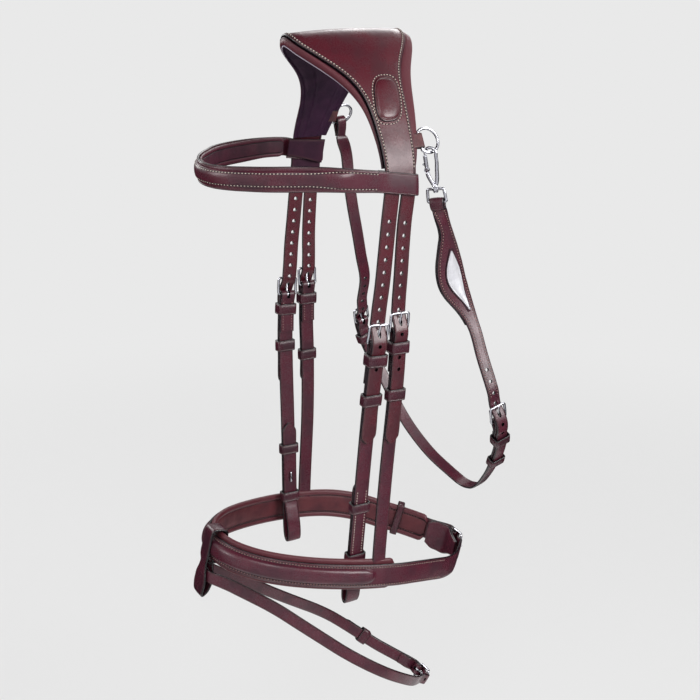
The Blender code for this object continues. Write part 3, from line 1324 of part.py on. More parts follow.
def near_throat_billet():
    rows = follow(leaf_base, 0.0, leaf_base.run[-1], 0.0010, None, 0.010)
    rows += [(*(c * MM for c in LEAF_TO_BUCKLE), *THROAT_WIDTH_DIRECTION, THROAT_HALF)]
    rows += rows_from(billet_through(near_throat, BILLET_PASS[:-1]), THROAT_WIDTH_DIRECTION, THROAT_HALF)
    rows += follow(throat_base, 0.016, 0.066, 0.0042, THROAT_HALF, 0.01)
    rows = point_tip(rows, 0.006, 0.0020)
    route = Route(rows, tolerance=0.00014)
    obj = strap("near_throat_billet", route, STRAP_LOOK)
    fold_on_bar(obj, leaf_bar, THROAT_HALF + 0.0003, slot=False)
    ply = follow(leaf_base, 0.0030, leaf_base.run[-1] - 0.012, -0.0008, None, 0.010)
    ply = [(*row[:6], row[6] - 0.0002) for row in ply]
    boolean(obj, strap_tool("throat_leaf_lining", Route(ply, tolerance=0.0001), 0.0022), "UNION")
    punch(obj, billet_holes(route, near_throat, -4, 4))


def leaf_plate():
    """A plain metal plate on the wide part of the billet, narrow above and below."""
    halves = (0.0006, 0.0044, 0.0072, 0.0080, 0.0066, 0.0036, 0.0006)
    start = leaf_base.distance_at(2, -0.193)
    stop = leaf_base.distance_at(2, -0.247)
    rows = []
    for distance, half in zip(np.linspace(start, stop, len(halves)), halves):
        frame = leaf_base.frame(distance)
        place = frame @ Vector((-0.0020, 0, 0.0010 + LEATHER / 2 + 0.0012))
        rows.append((*place, *frame.col[0][:3], half))
    strap("throat_plate", Route(rows, tolerance=0.00015), STEEL_LOOK, thickness=0.0012)


near_throat_billet()
leaf_plate()
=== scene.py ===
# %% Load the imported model
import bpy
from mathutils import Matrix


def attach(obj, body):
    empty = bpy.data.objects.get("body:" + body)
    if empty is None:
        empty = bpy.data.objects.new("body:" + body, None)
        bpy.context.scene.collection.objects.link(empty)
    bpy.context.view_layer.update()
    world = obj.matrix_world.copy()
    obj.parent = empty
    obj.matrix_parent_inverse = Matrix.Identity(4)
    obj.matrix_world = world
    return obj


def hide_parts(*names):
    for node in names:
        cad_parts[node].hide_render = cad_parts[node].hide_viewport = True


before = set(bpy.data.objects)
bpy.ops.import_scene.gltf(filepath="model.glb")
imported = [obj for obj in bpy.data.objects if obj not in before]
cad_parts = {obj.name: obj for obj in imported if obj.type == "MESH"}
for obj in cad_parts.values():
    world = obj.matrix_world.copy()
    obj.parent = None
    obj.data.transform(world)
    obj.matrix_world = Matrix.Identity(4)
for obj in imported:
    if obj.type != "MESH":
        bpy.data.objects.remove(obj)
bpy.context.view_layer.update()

# %% [markdown]
# # Dressing a leather bridle
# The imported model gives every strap, buckle and ring its place, but only as plain solids.
# This lesson builds the visible pieces round it: straps with rounded, creased and sewn edges,
# padded linings, bent steel wire, and leather that takes the light as dressed leather does.
# Every strap is one idea: a profile carried along a smooth line.

# %% The CAD box, and the words used for size
import math

import bmesh
import bpy
import numpy as np
from mathutils import Vector

MM = 0.001
HIDE = 0.0026                 # thickness of strap leather
CHEEK, HANGER, THROAT = 0.0083, 0.0078, 0.0068      # half widths of the straps
FLASH, CHIN, NOSE = 0.0065, 0.0115, 0.0127
PITCH = 0.012                 # spacing of the punched holes
SIDES = {"near": 1, "far": -1}

# %% [markdown]
# ## A smooth line through a few points
# A hanging strap follows a few points of the real one. A centripetal Catmull-Rom curve passes
# through every point without overshooting, so the strap goes where it was measured. A line also
# carries the strap's width direction, because a flat strap twists as it hangs.

# %% Smooth curves
def unit(v):
    """Vectors divided by their own lengths."""
    return v / np.linalg.norm(v, axis=-1, keepdims=True)


def smooth(rows, fine=24):
    """Centripetal Catmull-Rom: on each span, three straight blends, then two, then one."""
    p = np.array(rows, float)
    p = np.vstack([2 * p[:1] - p[1:2], p, 2 * p[-1:] - p[-2:-1]])
    gaps = np.maximum(np.linalg.norm(np.diff(p[:, :3], axis=0), axis=1), 1e-6) ** 0.5
    knots = np.concatenate([[0.0], np.cumsum(gaps)])
    count = len(p) - 3
    t0, t1, t2, t3 = (knots[k:k + count, None, None] for k in range(4))
    p0, p1, p2, p3 = (p[k:k + count, None, :] for k in range(4))
    t = t1 + (t2 - t1) * (np.arange(fine) / fine)[None, :, None]
    a1 = ((t1 - t) * p0 + (t - t0) * p1) / (t1 - t0)
    a2 = ((t2 - t) * p1 + (t - t1) * p2) / (t2 - t1)
    a3 = ((t3 - t) * p2 + (t - t2) * p3) / (t3 - t2)
    b1 = ((t2 - t) * a1 + (t - t0) * a2) / (t2 - t0)
    b2 = ((t3 - t) * a2 + (t - t1) * a3) / (t3 - t1)
    curve = ((t2 - t) * b1 + (t - t1) * b2) / (t2 - t1)
    return np.vstack([curve.reshape(-1, p.shape[1]), p[-2:-1]])


print("three points become", len(smooth([(0, 0, 0), (1, 0, 0), (1, 1, 0)])))

# %% Lines
def run_along(points):
    """Distance along a row of points: the running total of the steps between them."""
    return np.concatenate([[0], np.cumsum(np.linalg.norm(np.diff(points, axis=0), axis=1))])


def read_at(at, run, table):
    """The rows of a table at some distances, straight between its own."""
    return np.stack([np.interp(at, run, column) for column in table.T], 1)


class Line:
    """A strap's middle line. Rows are place (3), width direction (3) and half width (1).
    The outward direction is the width direction crossed with the way along."""

    def __init__(self, rows, step=0.0008):
        """Smooth the rows, and keep places an even step apart with their three directions."""
        dense = smooth(rows)
        run = run_along(dense[:, :3])
        self.length = run[-1]
        self.run = np.linspace(0, run[-1], max(8, int(run[-1] / step)))
        even = read_at(self.run, run, dense)
        self.at, self.half = even[:, :3], even[:, 6]
        self.along = unit(np.gradient(self.at, axis=0))
        side = even[:, 3:6]
        self.side = unit(side - (side * self.along).sum(1, keepdims=True) * self.along)
        self.out = np.cross(self.side, self.along)

    def spot(self, distance):
        """Place, width direction, way along, outward direction and half width at distances."""
        distance = np.atleast_1d(distance)
        pick = [read_at(distance, self.run, table)
                for table in (self.at, self.side, self.along, self.out)]
        return (pick[0], unit(pick[1]), unit(pick[2]), unit(pick[3]),
                np.interp(distance, self.run, self.half))

    def where(self, axis, value):
        """The first distance at which a coordinate passes a value, or the line's end."""
        row = self.at[:, axis] - value
        hit = np.nonzero(row[:-1] * row[1:] <= 0)[0]
        return self.run[hit[0]] if len(hit) else self.length

    def rows(self, start, stop, out=0.0, half=None, step=0.012, turn=1):
        """Rows along a part of the line, moved outward."""
        distance = np.linspace(start, stop, max(2, int(abs(stop - start) / step) + 2))
        at, side, _, outward, width = self.spot(distance)
        width = width if half is None else np.full(len(distance), half)
        return [*np.column_stack([at + outward * out, side * turn, width])]

    def frame(self, distance):
        """A place and its three axes: width, along and outward."""
        at, side, along, _, _ = self.spot(distance)
        return Frame(at[0], side[0], along[0])


plumb = Line([(0, 0, 0, 1, 0, 0, 0), (0, 0, -1, 1, 0, 0, 0)])
print("a line straight down is", round(float(plumb.length), 3), "m long")

# %% Frames
class Frame:
    """A place with axes X, Y and Z, as the columns of a 3 by 3 array."""

    def __init__(self, place, x, y):
        """X is kept, Y is what it has at right angles to X, and Z is X crossed with Y."""
        x, y = unit(np.array(x, float)), np.array(y, float)
        y = unit(y - x * (x @ y))
        self.place, self.axes = np.array(place, float), np.stack([x, y, np.cross(x, y)], 1)

    def put(self, points):
        """Local points as places in the bridle's frame."""
        return np.atleast_2d(points) @ self.axes.T + self.place

    def rows(self, pairs, side, half):
        """Line rows through local (Y, Z) pairs."""
        pairs = np.array(pairs)
        places = self.put(np.column_stack([np.zeros(len(pairs)), pairs]))
        return [np.concatenate([p, side, [half]]) for p in places]


FLAT_FRAME = Frame((0, 0, 0), (1, 0, 0), (0, 1, 0))
print("a level frame's outward way is", FLAT_FRAME.axes[:, 2])

# %% [markdown]
# ## Meshes from whole arrays
# Each piece is a grid of points: rings along a line, or rows over a surface. Its faces follow
# from the grid's size alone, so numpy can write them all at once. Every point also keeps how far
# it lies from the leather's cut edge, because the edge is painted and the face isn't.

# %% Meshes
def quads_of(rows, columns, wrap_rows=False, wrap_columns=True):
    """Four corners for each cell of a grid; a wrapped direction closes on itself."""
    i = np.arange(rows if wrap_rows else rows - 1)[:, None]
    j = np.arange(columns if wrap_columns else columns - 1)[None, :]
    below, right = (i + 1) % rows, (j + 1) % columns
    corners = (i * columns + j, i * columns + right, below * columns + right, below * columns + j)
    return np.stack(np.broadcast_arrays(*corners), -1).reshape(-1, 4)


def ring_ends(rows, columns):
    """The two end faces of a tube of rings."""
    last = (rows - 1) * columns
    return [list(range(columns))[::-1], list(range(last, last + columns))]


def tube_faces(rows, columns):
    """The sides and both ends of a tube of rings."""
    return quads_of(rows, columns).tolist() + ring_ends(rows, columns)


def soften(mesh, sharp):
    """Smooth shading, with a crease wherever two faces meet at more than some degrees."""
    mesh.polygons.foreach_set("use_smooth", np.ones(len(mesh.polygons), bool))
    mesh.set_sharp_from_angle(angle=math.radians(sharp))


def face_outward(mesh, merge=None):
    """Turn a closed mesh's faces outward, and merge points closer than a distance first."""
    bm = bmesh.new()
    bm.from_mesh(mesh)
    if merge:
        bmesh.ops.remove_doubles(bm, verts=bm.verts, dist=merge)
    bmesh.ops.recalc_face_normals(bm, faces=bm.faces)
    bm.to_mesh(mesh)
    bm.free()


print("a tube of 3 rings of 4 has", len(tube_faces(3, 4)), "faces")

# %% Pieces
SHARP = 38                    # degrees past which a bend is shown as a crease
MADE = []


def piece(name, points, faces, finish, body="bridle", stands_for=(), edge=None, sharp=SHARP,
          marks=None):
    """A closed mesh with outward faces, which rides on a body and may stand for CAD nodes."""
    mesh = bpy.data.meshes.new(name)
    mesh.from_pydata(np.asarray(points).tolist(), [], [list(map(int, f)) for f in faces])
    for label, values in {"edge": edge, **(marks or {})}.items():
        if values is not None:
            held = mesh.attributes.new(label, "FLOAT", "POINT")
            held.data.foreach_set("value", np.asarray(values, np.float32).ravel())
    face_outward(mesh, 1e-7)
    obj = bpy.data.objects.new(name, mesh)
    bpy.context.scene.collection.objects.link(obj)
    MADE.append(obj)
    soften(mesh, sharp)
    mesh.materials.append(finish)
    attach(obj, body)
    if stands_for:
        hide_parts(*([stands_for] if isinstance(stands_for, str) else stands_for))
    return obj


def tell(word):
    """Print how many pieces have a word in their names, and their faces together."""
    some = [obj for obj in MADE if word in obj.name]
    print(word, "pieces:", len(some), "with", sum(len(obj.data.polygons) for obj in some), "faces")


# %% [markdown]
# ## Leather that looks dressed
# Bridle leather is dyed through, waxed and rolled smooth. Close to, it has a fine pebbled grain
# and a few pores; further off it is a little cloudy, because the dye takes unevenly. Its cut edges
# are painted and burnished darker, and the face beside them is rubbed. All of that comes from
# noise on the object's own coordinates and from the edge distance kept on each point.

# %% Building a finish from nodes
class Nodes:
    """A node tree, with short ways to add to it."""

    def __init__(self, tree):
        self.tree = tree

    def node(self, kind, inputs=(), **settings):
        """A shader node with its settings and inputs; an input is a number or a socket."""
        made = self.tree.nodes.new("ShaderNode" + kind)
        for key, value in settings.items():
            setattr(made, key, value)
        for key, value in dict(inputs).items():
            self.set(made.inputs[key], value)
        return made

    def set(self, socket, value):
        """Link a socket to another, or write a value on it."""
        if isinstance(value, bpy.types.NodeSocket):
            self.tree.links.new(value, socket)
        else:
            socket.default_value = value

    def math(self, operation, a, b=0.0):
        """Two values put together by one operation."""
        return self.node("Math", {0: a, 1: b}, operation=operation).outputs[0]

    def fit(self, value, low, high, to_low=0.0, to_high=1.0):
        """A value moved from one range to another, smoothly at both ends."""
        keys = {"Value": value, "From Min": low, "From Max": high,
                "To Min": to_low, "To Max": to_high}
        return self.node("MapRange", keys, interpolation_type="SMOOTHSTEP").outputs["Result"]

    def bump_at(self, value, low, middle, high):
        """0 below low, 1 at the middle and 0 again above high: one rise times one fall."""
        return self.math("MULTIPLY", self.fit(value, low, middle),
                         self.fit(value, middle, high, 1.0, 0.0))

    def blend(self, amount, a, b):
        """a where the amount is 0, and b where it is 1."""
        made = self.node("Mix", data_type="RGBA", blend_type="MIX")
        for socket, value in ((made.inputs[0], amount), (made.inputs[6], a), (made.inputs[7], b)):
            self.set(socket, value)
        return made.outputs[2]

    def mix(self, share, first, second):
        """One shader where the share is 0, and another where it is 1."""
        return self.node("MixShader", {0: share, 1: first.outputs[0], 2: second.outputs[0]})


class Finish(Nodes):
    """A material whose patterns lie on the object's own coordinates."""

    def __init__(self, name):
        self.made = bpy.data.materials.new(name)
        self.made.use_nodes = True
        super().__init__(self.made.node_tree)
        self.shader = self.tree.nodes["Principled BSDF"]
        self.place = self.node("TexCoord").outputs["Object"]

    def noise(self, scale, detail=3.0, rough=0.55, stretch=None):
        """Cloudy values round one half; stretch draws the clouds out along an axis."""
        place = self.place
        if stretch is not None:
            place = self.node("VectorMath", {0: place, 1: stretch}, operation="MULTIPLY").outputs[0]
        return self.node("TexNoise", {"Vector": place, "Scale": scale, "Detail": detail,
                                      "Roughness": rough}).outputs["Fac"]

    def cells(self, scale):
        """Distance to the nearest of many scattered points, which makes pebbles."""
        return self.node("TexVoronoi", {"Vector": self.place, "Scale": scale},
                         feature="F1").outputs["Distance"]

    def mark(self, name):
        """A value kept on the mesh's points."""
        return self.node("Attribute", attribute_name=name, attribute_type="GEOMETRY").outputs["Fac"]

    def surface(self, shader):
        """Show a shader in place of the usual one."""
        self.set(self.tree.nodes["Material Output"].inputs[0], shader.outputs[0])

    def finish(self, colour, roughness, height=None, depth=0.0001, **sockets):
        """Join colour, roughness and bump, and set what is the same all over on the shader."""
        self.set(self.shader.inputs["Base Color"], colour)
        self.set(self.shader.inputs["Roughness"], roughness)
        if height is not None:
            bump = self.node("Bump", {"Height": height, "Distance": depth, "Strength": 1.0})
            self.set(self.shader.inputs["Normal"], bump.outputs[0])
        for key, value in sockets.items():
            self.shader.inputs[key.replace("_", " ")].default_value = value
        return self.made


def tint(red, green, blue):
    """A colour written as it shows on a screen, from 0 to 255, in Blender's linear scale."""
    value = np.array([red, green, blue]) / 255
    return (*np.where(value > 0.04045, ((value + 0.055) / 1.055) ** 2.4, value / 12.92), 1.0)


print("middle grey is", round(float(tint(128, 128, 128)[0]), 3), "in linear light")

# %% The leathers
# Distances from the cut edge in metres: where the paint fades out, and where the rubbed band and
# the crease beside it, darkened as painted shade, rise and fall
PAINTED, RUBBED, SHADED_CREASE = (0.0003, 0.0011), (0.0005, 0.0012, 0.0028), (0.0010, 0.0015, 0.0021)
RUBBED_TONE = tint(150, 108, 104)


def leather(name, face, cloud, edge_paint_and_shade, gloss=0.40, grain=1.0, coat=0.14, shine=0.45):
    """Colour = face mixed with a cloudier tone by slow noise, rubbed paler near the edges and
    painted on them, with painted shade in the crease. A line of stitches draws the leather into
    a seam groove darkened with painted shade, as far from the edge as the mark called sewn.
    Height = fine cells for the grain, plus slow creasing."""
    f = Finish(name)
    edge = f.mark("edge")
    slow = f.noise(38.0, 5.0, 0.6)
    fine = f.cells(2300.0)
    pebble = f.noise(900.0, 2.0)
    colour = f.blend(f.fit(slow, 0.36, 0.66), face, cloud)
    colour = f.blend(f.fit(pebble, 0.50, 0.72, 0.0, 0.30), colour, edge_paint_and_shade)
    wear = f.math("MULTIPLY", f.bump_at(edge, *RUBBED), f.fit(slow, 0.35, 0.75, 0.05, 0.25))
    colour = f.blend(wear, colour, RUBBED_TONE)
    # Painted shade: the crease groove is darkened towards the edge paint
    colour = f.blend(f.math("MULTIPLY", f.bump_at(edge, *SHADED_CREASE), 0.55), colour, edge_paint_and_shade)
    colour = f.blend(f.fit(edge, *PAINTED, 1.0, 0.0), colour, edge_paint_and_shade)
    sewn = f.mark("sewn")
    gap = f.math("ABSOLUTE", f.math("SUBTRACT", edge, sewn))
    seam = f.math("MULTIPLY", f.fit(gap, 0.0004, 0.0009, 1.0, 0.0), f.fit(sewn, 0.0008, 0.0012))
    # Painted shade: the seam groove is darkened towards the edge paint
    colour = f.blend(f.math("MULTIPLY", seam, 0.75), colour, edge_paint_and_shade)
    rough = f.math("ADD", f.fit(slow, 0.3, 0.7, gloss - 0.07, gloss + 0.08),
                   f.fit(pebble, 0.35, 0.7, -0.04, 0.06))
    height = f.math("ADD", f.math("MULTIPLY", fine, 0.5 * grain),
                    f.math("ADD", f.math("MULTIPLY", pebble, 0.6 * grain),
                           f.math("MULTIPLY", f.noise(240.0, 3.0), 0.8)))
    height = f.math("SUBTRACT", height, f.math("MULTIPLY", seam, 2.5))
    return f.finish(colour, rough, height, 0.00012, Coat_Weight=coat, Coat_Roughness=0.20,
                    Specular_IOR_Level=shine)


CROWN_HIDE = leather("crown_hide", tint(86, 31, 41), tint(70, 24, 34), tint(22, 9, 16), 0.28, 0.6)
STRAP_HIDE = leather("strap_hide", tint(84, 33, 47), tint(64, 24, 38), tint(20, 9, 16), 0.29, 0.7)
TRIM_HIDE = leather("trim_hide", tint(74, 29, 42), tint(54, 21, 33), tint(16, 8, 13), 0.28, 0.8)
# A dark leather for painted shade: inside the far loop, on the far crown's root and round the plate
SHADE_HIDE = leather("shade_hide", tint(58, 26, 44), tint(46, 20, 38), tint(20, 9, 16), 0.5, 0.8,
                     0.0, 0.15)
TAB_HIDE = leather("tab_hide", tint(106, 54, 56), tint(70, 34, 40), tint(36, 18, 22), 0.48, 2.4,
                   0.03)
print("leathers", [m.name for m in (CROWN_HIDE, STRAP_HIDE, TRIM_HIDE, SHADE_HIDE, TAB_HIDE)])

# %% [markdown]
# ## The soft lining, thread and steel
# The padding is covered in thin, dull leather that wrinkles a little where it turns over its
# filling. Thread is waxed linen: a cream strand with a twist. The buckles are polished steel,
# almost a mirror, with hair-fine scratches, so most of what they show is the room.

# %% Padding, thread and steel
def pad_finish(name, face, cloud, roll, shine):
    """Dull leather over padding: slow colour, fine grain, and soft wrinkles in the height. The
    mark called roll turns the colour to that of the rolled edge, and the seam mark darkens it:
    painted shade in the folds beside the rolls and under the crown's edge."""
    f = Finish(name)
    slow = f.noise(60.0, 4.0)
    colour = f.blend(f.fit(slow, 0.35, 0.68), face, cloud)
    rolled = f.mark("roll")
    colour = f.blend(rolled, colour, roll)
    # Painted shade in the seams' folds
    colour = f.blend(f.mark("seam"), colour, tint(26, 12, 20))
    rough = f.math("SUBTRACT", f.fit(slow, 0.3, 0.7, 0.44, 0.58), f.math("MULTIPLY", rolled, 0.16))
    height = f.math("ADD", f.math("MULTIPLY", f.noise(170.0, 3.0), 1.4),
                    f.math("MULTIPLY", f.cells(1900.0), 0.6))
    return f.finish(colour, rough, height, 0.00016, Specular_IOR_Level=shine)


def thread_finish(name, pale, dark):
    """A waxed strand: fine noise between two tones, with a rough, slightly fuzzy surface."""
    f = Finish(name)
    fibre = f.noise(3200.0, 2.0)
    return f.finish(f.blend(f.fit(fibre, 0.3, 0.7), pale, dark), f.fit(fibre, 0.3, 0.7, 0.5, 0.7),
                    fibre, 0.00008, Sheen_Weight=0.2)


def steel_finish(name, tone, low, high, metal=1.0):
    """Polished metal: its roughness wanders slowly, and stretched noise scratches it finely."""
    f = Finish(name)
    slow = f.noise(120.0, 4.0)
    scratch = f.noise(1500.0, 2.0, 0.5, (1.0, 1.0, 0.12))
    return f.finish(f.blend(f.fit(slow, 0.35, 0.7, 0.0, 0.35), tone, tint(150, 150, 158)),
                    f.fit(slow, 0.3, 0.7, low, high), scratch, 0.00001, Metallic=metal)


PAD_HIDE = pad_finish("pad_hide", tint(54, 24, 50), tint(42, 18, 42), tint(90, 42, 50), 0.22)
ROLL_HIDE = pad_finish("roll_hide", tint(92, 38, 44), tint(72, 28, 36), tint(90, 40, 48), 0.40)
BROW_HIDE = pad_finish("brow_hide", tint(72, 32, 46), tint(56, 25, 38), tint(80, 36, 48), 0.35)
CREAM_THREAD = thread_finish("cream_thread", tint(228, 216, 204), tint(184, 164, 150))
PLUM_THREAD = thread_finish("plum_thread", tint(120, 84, 86), tint(84, 54, 60))
PINK_THREAD = thread_finish("pink_thread", tint(176, 132, 126), tint(124, 88, 88))
# Dark spindles set between the stitches: painted shade in the stitch holes
STITCH_HOLE_SHADE = thread_finish("dark_wax", tint(30, 14, 20), tint(18, 9, 14))
# A pale cord: a painted highlight along the padding's lower front edge
HIGHLIGHT_CORD = thread_finish("painted_highlight_cord", tint(196, 184, 198), tint(150, 136, 152))
STEEL = steel_finish("bright_steel", tint(206, 206, 212), 0.08, 0.22)
PLATE = steel_finish("brushed_plate", tint(226, 226, 230), 0.34, 0.46, 0.5)
print("finishes", [m.name for m in bpy.data.materials if m.use_nodes][-10:])

# %% [markdown]
# ## The room
# The bridle hangs clear of a pale floor in soft light, as in a catalogue. The camera stands 60
# degrees round from the front, a little above it. Large soft lamps draw long highlights down
# the rolled leather, and what the camera sees beyond them is the same pale grey.

# %% Camera
AIM, SIDEWAYS, ABOVE, AWAY = Vector((0, 0, -0.310)), math.radians(60), math.radians(19.5), 1.177
SENSOR, FOCAL_PIXELS, PHOTO_PIXELS = 36.0, 1135, 700      # the focal length fits the photograph
place = AIM + AWAY * Vector((math.sin(SIDEWAYS) * math.cos(ABOVE),
                             -math.cos(SIDEWAYS) * math.cos(ABOVE), math.sin(ABOVE)))
camera = bpy.data.objects.new("camera", bpy.data.cameras.new("camera"))
camera.data.lens = SENSOR * FOCAL_PIXELS / PHOTO_PIXELS
camera.data.sensor_width = SENSOR
camera.location = place
camera.rotation_euler = (AIM - place).to_track_quat("-Z", "Y").to_euler()
bpy.context.scene.collection.objects.link(camera)
bpy.context.scene.camera = camera
print("camera at", [round(c, 4) for c in place])

# %% Floor
PALE, MATT = tint(233, 233, 233), tint(224, 224, 224)
FLOOR_Z, FLOOR_HALF = -1.02, 9.0
GLOW_FROM, GLOW_FULL, GLOW_LEAST = 1.2, 2.4, 0.55     # near the bridle the floor keeps its shadow


def seen_directly(f):
    """1 where a camera, mirror or glass ray arrives, and 0 for light that bounces."""
    path = f.node("LightPath").outputs
    either = f.math("MAXIMUM", path["Is Camera Ray"], path["Is Glossy Ray"])
    return f.math("MAXIMUM", either, path["Is Transmission Ray"])


def room_piece(name, points, faces, look):
    """A mesh that belongs to the room and not to the bridle."""
    mesh = bpy.data.meshes.new(name)
    mesh.from_pydata(points.tolist(), [], faces)
    mesh.materials.append(look.made)
    made = bpy.data.objects.new(name, mesh)
    bpy.context.scene.collection.objects.link(made)
    return made


floor_look = Finish("floor_grey")
away = floor_look.node("VectorMath", {0: floor_look.place}, operation="LENGTH").outputs["Value"]
share = floor_look.math("MULTIPLY", seen_directly(floor_look),
                        floor_look.fit(away, GLOW_FROM, GLOW_FULL, GLOW_LEAST, 1.0))
floor_look.surface(floor_look.mix(share, floor_look.node("BsdfDiffuse", {"Color": MATT}),
                                  floor_look.node("Emission", {"Color": PALE, "Strength": 1.0})))
corner = np.array([(-1, -1, 0), (1, -1, 0), (1, 1, 0), (-1, 1, 0)]) * FLOOR_HALF + (0, 0, FLOOR_Z)
floor = room_piece("floor", corner, [(0, 1, 2, 3)], floor_look)
print("floor at", FLOOR_Z)

# %% World and lamps
WORLD_LIGHT = 0.40
world = bpy.data.worlds.new("room")
world.use_nodes = True
bpy.context.scene.world = world
room = Nodes(world.node_tree)
room_light = room.tree.nodes["Background"]
room.set(room_light.inputs["Color"], (1.0, 1.0, 1.0, 1.0))
room.set(room_light.inputs["Strength"], WORLD_LIGHT)
mixed = room.mix(seen_directly(room), room_light,
                 room.node("Background", {"Color": PALE, "Strength": 1.0}))
room.set(room.tree.nodes["World Output"].inputs[0], mixed.outputs[0])


def lamp(name, place, aim, size, watts):
    """A square soft lamp that faces a point."""
    light = bpy.data.lights.new(name, "AREA")
    light.shape, light.size, light.energy = "SQUARE", size, watts
    made = bpy.data.objects.new(name, light)
    made.location = place
    made.rotation_euler = (Vector(aim) - Vector(place)).to_track_quat("-Z", "Y").to_euler()
    bpy.context.scene.collection.objects.link(made)


lamp("key", (1.5, -1.0, 1.5), (0, 0, -0.3), 0.8, 14)
lamp("side", (-0.2, -2.1, 0.3), (0, 0, -0.35), 0.8, 11)
lamp("right", (1.75, 0.95, 0.62), (0, 0, -0.15), 1.1, 36)
lamp("back", (-1.4, 1.3, 0.9), (0, 0, -0.3), 0.9, 10)
lamp("far", (-1.8, -0.7, 0.5), (0, 0, -0.35), 0.8, 12)
bpy.context.scene.view_settings.view_transform = "Standard"
print("lamps", len(bpy.data.lights))

# %% [markdown]
# ## Dark felt for the steel to reflect
# Polished steel shows its room, so in a room that is pale all round it has no dark lines. A
# photographer hangs dark cards just out of view. Here a wall of felt stands round the bridle,
# with a rug and a ceiling. Only mirror rays see it: the camera's view, the light and the shadows
# pass through. A lamp can't do this, because it only adds light. The felt turns pale towards the
# side that the camera was set up on, so leather that faces that way stays bright. The cost is
# that reflections show felt where they would have shown the pale background.

# %% Felt ring
FELT, FELT_PALE = tint(40, 36, 42), tint(236, 236, 240)
FELT_DARK_TO, FELT_PALE_FROM = 0.2, 1.15              # distances towards the camera's side
RING_AWAY, RING_LOW, RING_HIGH, CORNERS = 1.45, -1.0, -0.08, 48
CEILING, CEILING_WIDE, RUG_HOLE = 1.8, 1.05, 0.42     # the last two as shares of RING_AWAY
ring_look = Finish("dark_felt")
facing = ring_look.node("VectorMath", {0: ring_look.place,
                                       1: (math.sin(SIDEWAYS), -math.cos(SIDEWAYS), 0.0)},
                        operation="DOT_PRODUCT").outputs["Value"]
shade = ring_look.blend(ring_look.fit(facing, FELT_DARK_TO, FELT_PALE_FROM), FELT, FELT_PALE)
ring_look.surface(ring_look.mix(ring_look.node("LightPath").outputs["Is Glossy Ray"],
                                ring_look.node("BsdfTransparent"),
                                ring_look.node("BsdfDiffuse", {"Color": shade})))
here = np.arange(CORNERS)
after, turn = np.roll(here, -1), here * 2 * np.pi / CORNERS
ring = RING_AWAY * np.column_stack([np.cos(turn), np.sin(turn), 0 * turn])
levels = ((1.0, RING_LOW), (1.0, RING_HIGH), (CEILING_WIDE, CEILING), (RUG_HOLE, RING_LOW))
points = np.vstack([ring * wide + (0, 0, z) for wide, z in levels])
wall = np.column_stack([after, here, here + CORNERS, after + CORNERS])
rug = np.column_stack([here, after, after + 3 * CORNERS, here + 3 * CORNERS])
ceiling = list(range(3 * CORNERS - 1, 2 * CORNERS - 1, -1))
felt_ring = room_piece("felt_ring", points, [*wall.tolist(), *rug.tolist(), ceiling], ring_look)
print("felt", RING_AWAY, "m away, from", RING_LOW, "to", RING_HIGH)

# %% [markdown]
# ## A section carried along a path
# Straps, wires and keepers are all the same surface: a point of a section, carried along a path.
# Point (i, j) = path i + first direction i * section x j + second direction i * section y j.
# Only the sections differ. A strap's has round edges and, on its outer face, the narrow groove
# that a hot creasing iron presses in beside each edge.

# %% Sweeps
def sweep(path, first, second, x, y, closed=False, ends=True):
    """Points and faces of a section (x, y) carried along a path with its two directions."""
    x, y = np.broadcast_arrays(np.atleast_2d(x), np.atleast_2d(y))
    points = path[:, None] + first[:, None] * x[..., None] + second[:, None] * y[..., None]
    rows, columns = points.shape[:2]
    faces = quads_of(rows, columns, closed).tolist()
    if ends and not closed:
        faces += ring_ends(rows, columns)
    return points.reshape(-1, 3), faces


def join(*parts):
    """Several (points, faces) as one."""
    points, faces, count = [], [], 0
    for some, corners in parts:
        points.append(some)
        faces += [[c + count for c in face] for face in corners]
        count += len(some)
    return np.vstack(points), faces


def ease(low, high, value):
    """0 below low, 1 above high, and share * share * (3 - 2 * share) between."""
    share = np.clip((value - low) / (high - low), 0, 1)
    return share * share * (3 - 2 * share)


def circle(count):
    """Angles of points evenly round a circle."""
    return np.arange(count) * 2 * np.pi / count


print("ease from 0 to 1 at a quarter:", float(ease(0, 1, 0.25)))

# %% A strap's outline
ROUND = np.radians([0, 25, 50, 72, 90])
GROOVE_IN = np.array([0.00115, 0.0015, 0.00185])         # the crease, in from the edge
GROOVE_DEPTH = np.array([0.0, -0.00026, 0.0])
MIDDLE = np.array([0.78, 0.68, 0.62, 0.57, 0.52, 0.47, 0.42, 0.36, 0.26, 0.13, 0.0])
DOME, DOME_SHARE, SWELL_SHARE, CORNER, NARROW = 0.00022, 0.8, 0.66, 0.45, 0.004


def swell(share):
    """A padded strap's raised middle: the root of 1 - (share / two thirds) ** 2.6."""
    return np.sqrt(np.maximum(0.0, 1 - (np.abs(share) / SWELL_SHARE) ** 2.6))


